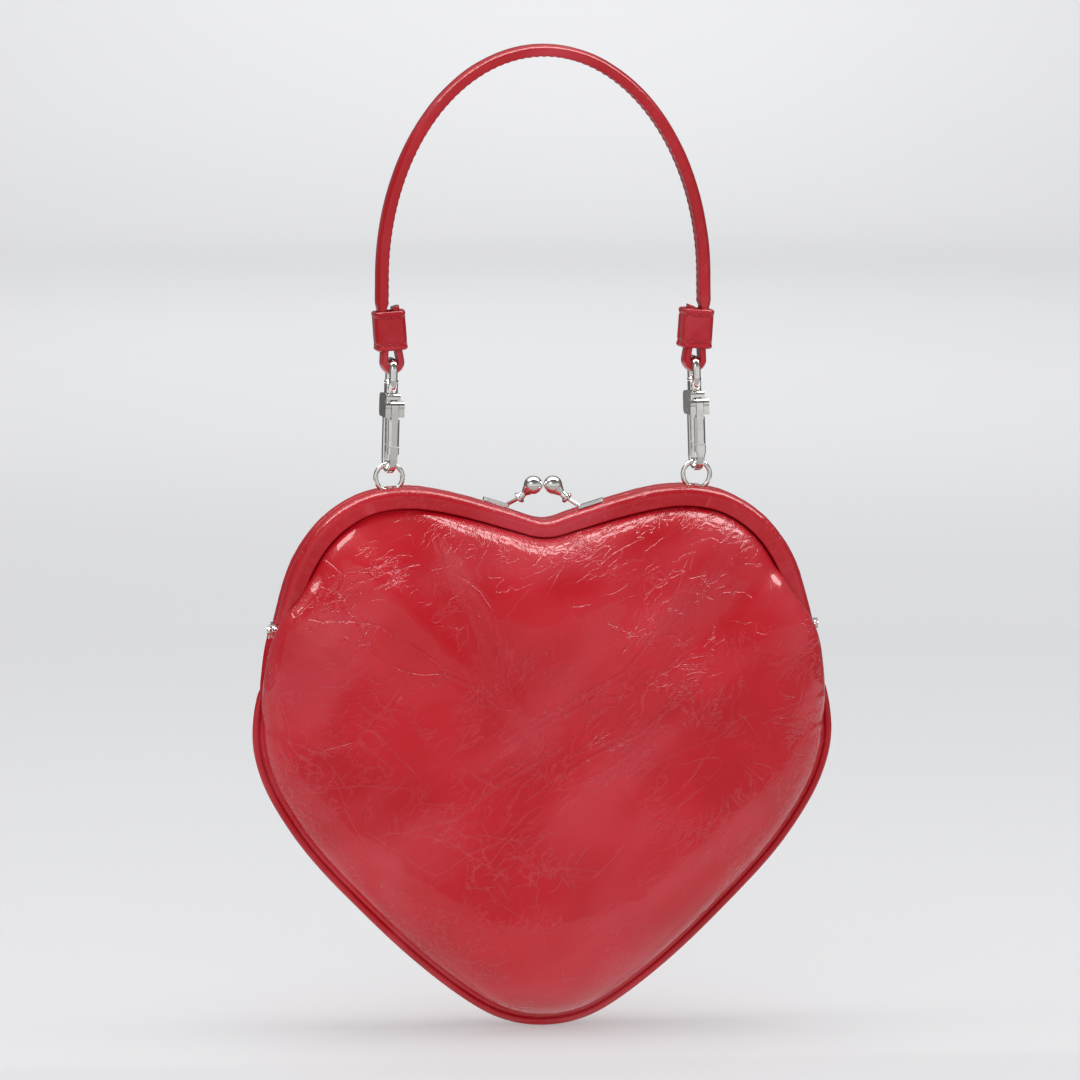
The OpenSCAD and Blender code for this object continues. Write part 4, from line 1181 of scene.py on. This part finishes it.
def strap_stitches():
    """Both rows of stitches on the strap's inner face."""
    path, heading, run = strap_path()
    middle = run[-1] / 2
    made = []
    count = int((middle - STITCH_STOP) / STITCH_PITCH)
    for k in range(-count, count + 1):
        s = middle + k * STITCH_PITCH
        x, z, thick = at_run(s, run, path)
        hx, hz = at_run(s, run, heading)
        n = -0.5 * thick
        for row in (-1, 1):
            place = (x - hz * n, row * STITCH_ROW * STRAP_W, z + hx * n)
            made.append((place, (hx, 0, hz), (hz, 0, -hx), STITCH_PITCH * STITCH_SHARE))
    return made


def keeper_ring(extra_x, extra_y, count):
    """Rounded rectangle of the keeper's outside, drawn in or out from its inner wall."""
    w, d = KEEPER_IN_W / 2 + extra_x, KEEPER_IN_D / 2 + extra_y
    r = KEEPER_IN_W * 0.22 + min(extra_x, extra_y)
    a = np.arange(count) * 2 * math.pi / count
    corner = joined(np.sign(np.cos(a)) * (w - r), np.sign(np.sin(a)) * (d - r))
    return corner + r * joined(np.cos(a), np.sin(a))


def keeper_way(side, p, z=0.0):
    """Directions of a keeper's own frame, across, back and up, in the row frame."""
    x = SIDES[side] * (p[..., 0] * LEAN_OUT[0] + z * LEAN_UP[0])
    return joined(x, p[..., 1], p[..., 0] * LEAN_OUT[1] + z * LEAN_UP[1])


def keeper_place(side, p, z):
    """Points of a keeper's own frame in the row frame."""
    return keeper_way(side, p, z) + [SIDES[side] * KEEPER_AT[0], 0, KEEPER_AT[1]]


def keeper_line(count):
    """Points and outward directions evenly spaced round a keeper's outside."""
    ring = keeper_ring(KEEPER_WALL, KEEPER_WALL, 720)
    loop = np.vstack([ring, ring[:1]])
    run = run_of(loop)
    p = at_run(np.arange(count) * run[-1] / count, run, loop)
    d = np.roll(p, -1, axis=0) - np.roll(p, 1, axis=0)
    d /= np.linalg.norm(d, axis=1, keepdims=True)
    return p, joined(d[:, 1], -d[:, 0]), run[-1]


def sew_keeper(side):
    """Stitches round both ends of a keeper."""
    p, away, length = keeper_line(KEEPER_STITCHES)
    way = joined(-away[:, 1], away[:, 0])
    size = length / KEEPER_STITCHES * KEEPER_STITCH_SHARE
    made = []
    for row in (-1, 1):
        places = keeper_place(side, p - 0.12 * away, row * KEEPER_LINE_AT)
        directions, normals = keeper_way(side, way), keeper_way(side, away)
        made += [(*parts, size) for parts in zip(places, directions, normals)]
    stitch_mesh(f"{side}_keeper_stitches", made, KEEPER_THREAD_R, "handle")


def make_keeper(side):
    """Leather sleeve with rolled lips, a groove for each line of stitches and a lapped seam."""
    count = 96
    outer, out, _ = keeper_line(count)
    inner = keeper_ring(0, 0, count)
    # Shares of the keeper's height, closer together at its lips and its lines of stitches
    heights = np.concatenate([
        np.linspace(-0.5, -0.44, 5), np.linspace(-0.42, -0.30, 10), np.linspace(-0.27, 0.27, 10),
        np.linspace(0.30, 0.42, 10), np.linspace(0.44, 0.5, 5),
    ]) * KEEPER_H
    seed = 91 if side == "left" else 93
    rings = []
    lap = step(outer[:, 1], 1.2, 1.5) * step(-outer[:, 0], 1.0, 1.4)
    for z in heights:
        edge = KEEPER_H / 2 - abs(z)
        roll = 0.22 * hump(edge - 0.9, 0.7) - 0.45 * hump(edge, 0.28)
        groove = -0.22 * hump(abs(z) - KEEPER_LINE_AT, 0.35)
        barrel = 0.14 * (1 - (2 * z / KEEPER_H) ** 2)
        lumps = 0.07 * noise((outer[:, 0], outer[:, 1], z), 3.5, seed)
        offset = roll + groove + barrel + lumps + 0.45 * lap
        rings.append(keeper_place(side, outer + out * offset[:, None], z))
    for z in heights[::-1]:
        rings.append(keeper_place(side, inner, z * 0.985))
    rings = np.array(rings)
    rows = len(rings)
    last = (rows - 1) * count
    faces = square_faces(rows, count, True)
    faces += [[last + j, last + (j + 1) % count, (j + 1) % count, j] for j in range(count)]
    obj = add_mesh(f"{side}_keeper_leather", rings.reshape(-1, 3), faces, STRAP_LEATHER)
    face_outward(obj)
    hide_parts(f"{side}_keeper")
    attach(obj, "handle")


make_strap()
stitch_mesh("strap_stitches", strap_stitches(), STRAP_THREAD_R, "handle")
for side in SIDES:
    make_keeper(side)
    sew_keeper(side)

# Metal pieces keep their CAD shapes, with their edges eased
EASE = 0.0002
CLASP_EASE = 0.0004
EASED_FROM = math.radians(38)
for name, obj in NODES.items():
    if obj.hide_render:
        continue
    obj.data.materials.clear()
    obj.data.materials.append(STEEL if "spring" in name else NICKEL)
    if "spring" not in name:
        bevel = obj.modifiers.new("eased_edges", "BEVEL")
        bevel.width = CLASP_EASE if "clasp" in name else EASE
        bevel.segments = 2
        bevel.limit_method = "ANGLE"
        bevel.angle_limit = EASED_FROM
        bevel.harden_normals = True

# Stage: a pale round floor with a low cove under an even sky, soft lights and a long lens
FLOOR_Z = (TIP_Z - 0.3) * MM
ROOM_R = 7.0
COVE_R = 1.6
# Where the soft lights aim
MIDDLE = (0, 0, -0.18)
PAPER = (0.41, 0.41, 0.415, 1)
PAPER_PALE = (0.43, 0.43, 0.435, 1)
# Paper lit from behind as well, which keeps the shadow on it faint
PAPER_GLOW = 0.30
SKY_LOW = 0.70
SKY_HIGH = 0.8
# Heights of the overhead card, of the dark hood and of the step in the front flags' level
CARD_Z = 1.35
HOOD_Z = 1.5
FLAG_TOP = 0.62
# Half the hood's width, which is also the front flags' distance
HOOD_REACH = 2.4
# Cards on the table lie a little over the floor
TABLE_Z = FLOOR_Z + 0.002


def make_room():
    """Floor and low round backdrop in one surface, the same from every side."""
    profile = [(0.3, 0.0), (0.8, 0.0), (2.0, 0.0), (4.0, 0.0)]
    for a in np.radians(np.linspace(0, 90, 14)):
        profile.append((ROOM_R - COVE_R + COVE_R * math.sin(a), COVE_R * (1 - math.cos(a))))
    count = 96
    turn = np.arange(count) * 2 * math.pi / count
    rings = [joined(r * np.cos(turn), r * np.sin(turn), z + FLOOR_Z) for r, z in profile]
    points = np.concatenate([np.array(rings).reshape(-1, 3), [[0, 0, FLOOR_Z]]]) / MM
    faces = square_faces(len(rings), count, True)
    centre = len(rings) * count
    faces += [[centre, (j + 1) % count, j] for j in range(count)]
    s = Shader("studio_paper")
    tint = s.blend(s.noise(s.place(), 2.5, detail=1), PAPER, PAPER_PALE)
    paper = s.finish(
        Base_Color=tint, Roughness=0.9, Emission_Color=(0.98, 0.985, 1.0, 1),
        Emission_Strength=PAPER_GLOW,
    )
    room = add_mesh("studio_room", points, faces, paper)


def area_light(name, place, aim, size, power, shines=True):
    """Soft rectangular light, unseen by the camera itself, and in reflections if it doesn't
    shine."""
    data = bpy.data.lights.new(name, "AREA")
    data.shape = "RECTANGLE"
    data.size, data.size_y = size
    data.energy = power
    light = bpy.data.objects.new(name, data)
    light.location = place
    light.rotation_euler = (Vector(aim) - Vector(place)).to_track_quat("-Z", "Y").to_euler()
    light.visible_camera = False
    light.visible_glossy = shines
    bpy.context.scene.collection.objects.link(light)


def reflector(name, corners, level, rim_level=None):
    """Card that only shows in reflections: a pale one or a dark flag, by its level, which
    may fade to another one at its rim."""
    s = Shader(name + "_card")
    if rim_level is not None:
        middle = np.mean(corners, axis=0)
        reach = float(np.linalg.norm(corners[2] - middle)) * 0.75
        away = s.add("ShaderNodeVectorMath", operation="DISTANCE")
        s.set(away.inputs[0], s.place())
        s.set(away.inputs[1], tuple(middle))
        level = s.ramp(away.outputs["Value"], 0, reach, level, rim_level)
    card = add_mesh(
        name, np.array(corners) / MM, [[0, 1, 2, 3]],
        s.finish(
            Base_Color=(0, 0, 0, 1), Roughness=1.0, Specular_IOR_Level=0.0,
            Emission_Color=(1, 1, 1, 1), Emission_Strength=level,
        ),
    )
    card.visible_camera = False
    card.visible_diffuse = False
    card.visible_transmission = False
    card.visible_shadow = False


def level_card(name, height, corners, level):
    """Level card at a height, from its corners seen from above."""
    reflector(name, [(x, y, height) for x, y in corners], level)


def level_half(name, height, left_y, right_y, level):
    """Level card as wide as the hood, from its front edge back to a line across."""
    far = HOOD_REACH
    level_card(name, height, [(-far, -far), (far, -far), (far, right_y), (-far, left_y)], level)


def upright_card(name, degrees, far, wide, low, high, level, rim_level=None):
    """Upright card at a bearing from straight in front, counted to the right, and a distance."""
    a = math.radians(degrees)
    middle = np.array([math.sin(a), -math.cos(a)]) * far
    across = np.array([math.cos(a), math.sin(a)]) * wide / 2
    left, right = middle - across, middle + across
    corners = [(*left, low), (*right, low), (*right, high), (*left, high)]
    reflector(name, corners, level, rim_level)


def make_sky():
    """Even sky, brighter overhead."""
    world = bpy.data.worlds.new("soft_sky")
    world.use_nodes = True
    tree = world.node_tree
    place = tree.nodes.new("ShaderNodeTexCoord")
    parts = tree.nodes.new("ShaderNodeSeparateXYZ")
    tree.links.new(place.outputs["Generated"], parts.inputs["Vector"])
    level = tree.nodes.new("ShaderNodeMapRange")
    level.interpolation_type = "SMOOTHSTEP"
    tree.links.new(parts.outputs["Z"], level.inputs["Value"])
    settings = {"From Min": 0.55, "From Max": 0.95, "To Min": SKY_LOW, "To Max": SKY_HIGH}
    for key, value in settings.items():
        level.inputs[key].default_value = value
    background = tree.nodes["Background"]
    background.inputs["Color"].default_value = (0.97, 0.98, 1.0, 1)
    tree.links.new(level.outputs["Result"], background.inputs["Strength"])
    bpy.context.scene.world = world


make_room()
area_light("top_light", (0.05, 0.10, CARD_Z), MIDDLE, (1.5, 1.2), 9.5, shines=False)
level_card("overhead_card", CARD_Z, [(-1.6, -0.20), (1.9, -0.20), (1.9, 0.40), (-1.6, 0.40)], 10.5)
level_half("overhead_flag", HOOD_Z, -0.26, -0.26, 0.14)
area_light("back_light", (0.44, 3.6, 0.8), (0.44, 3.6, FLOOR_Z), (0.5, 2.4), 9)
area_light("cove_light", (0.70, 5.7, 0.85), (0.83, 6.75, 0.1), (0.6, 0.6), 8)
area_light("front_fill", (-0.5, -2.2, 0.5), MIDDLE, (1.5, 1.2), 11, shines=False)
level_half("table_front", TABLE_Z, -0.07, -0.10, 0.42)
level_card("table_foot", TABLE_Z, [(-0.6, -0.078), (0.6, -0.088), (0.6, 0), (-0.6, 0)], 0.95)
for bearing in (-60, 0, 60):
    upright_card(f"front_flag_{bearing + 60}", bearing, HOOD_REACH, 2.8, FLOOR_Z, FLAG_TOP, 0.66)
    upright_card(f"high_flag_{bearing + 60}", bearing, HOOD_REACH, 2.8, FLAG_TOP, HOOD_Z, 0.30)
upright_card("left_flag", -115, 0.9, 1.2, FLOOR_Z, 0.45, 0.12)
upright_card("right_flag", 115, 0.9, 1.2, FLOOR_Z, 0.45, 0.12)
upright_card("back_flag", 173, 1.5, 2.4, FLOOR_Z, 1.3, 0.16)
upright_card("left_softbox", -38, 1.9, 1.5, 0.2, 1.6, 1.5, 0.64)
make_sky()

# Camera, set by the photograph's long lens and slight angle from the left and above
CAMERA_TURN = math.radians(-7)
CAMERA_RISE = math.radians(5)
CAMERA_AIM = Vector((-0.0011, 0, -0.1758))
CAMERA_FAR = 3.27
lens = bpy.data.cameras.new("long_lens")
lens.lens = 300
lens.clip_start = 0.05
lens.clip_end = 60
camera = bpy.data.objects.new("camera", lens)
back = Vector((
    math.sin(CAMERA_TURN) * math.cos(CAMERA_RISE),
    -math.cos(CAMERA_TURN) * math.cos(CAMERA_RISE),
    math.sin(CAMERA_RISE),
))
camera.location = CAMERA_AIM + back * CAMERA_FAR
camera.rotation_euler = (-back).to_track_quat("-Z", "Y").to_euler()
bpy.context.scene.collection.objects.link(camera)
bpy.context.scene.camera = camera
bpy.context.scene.view_settings.view_transform = "Standard"
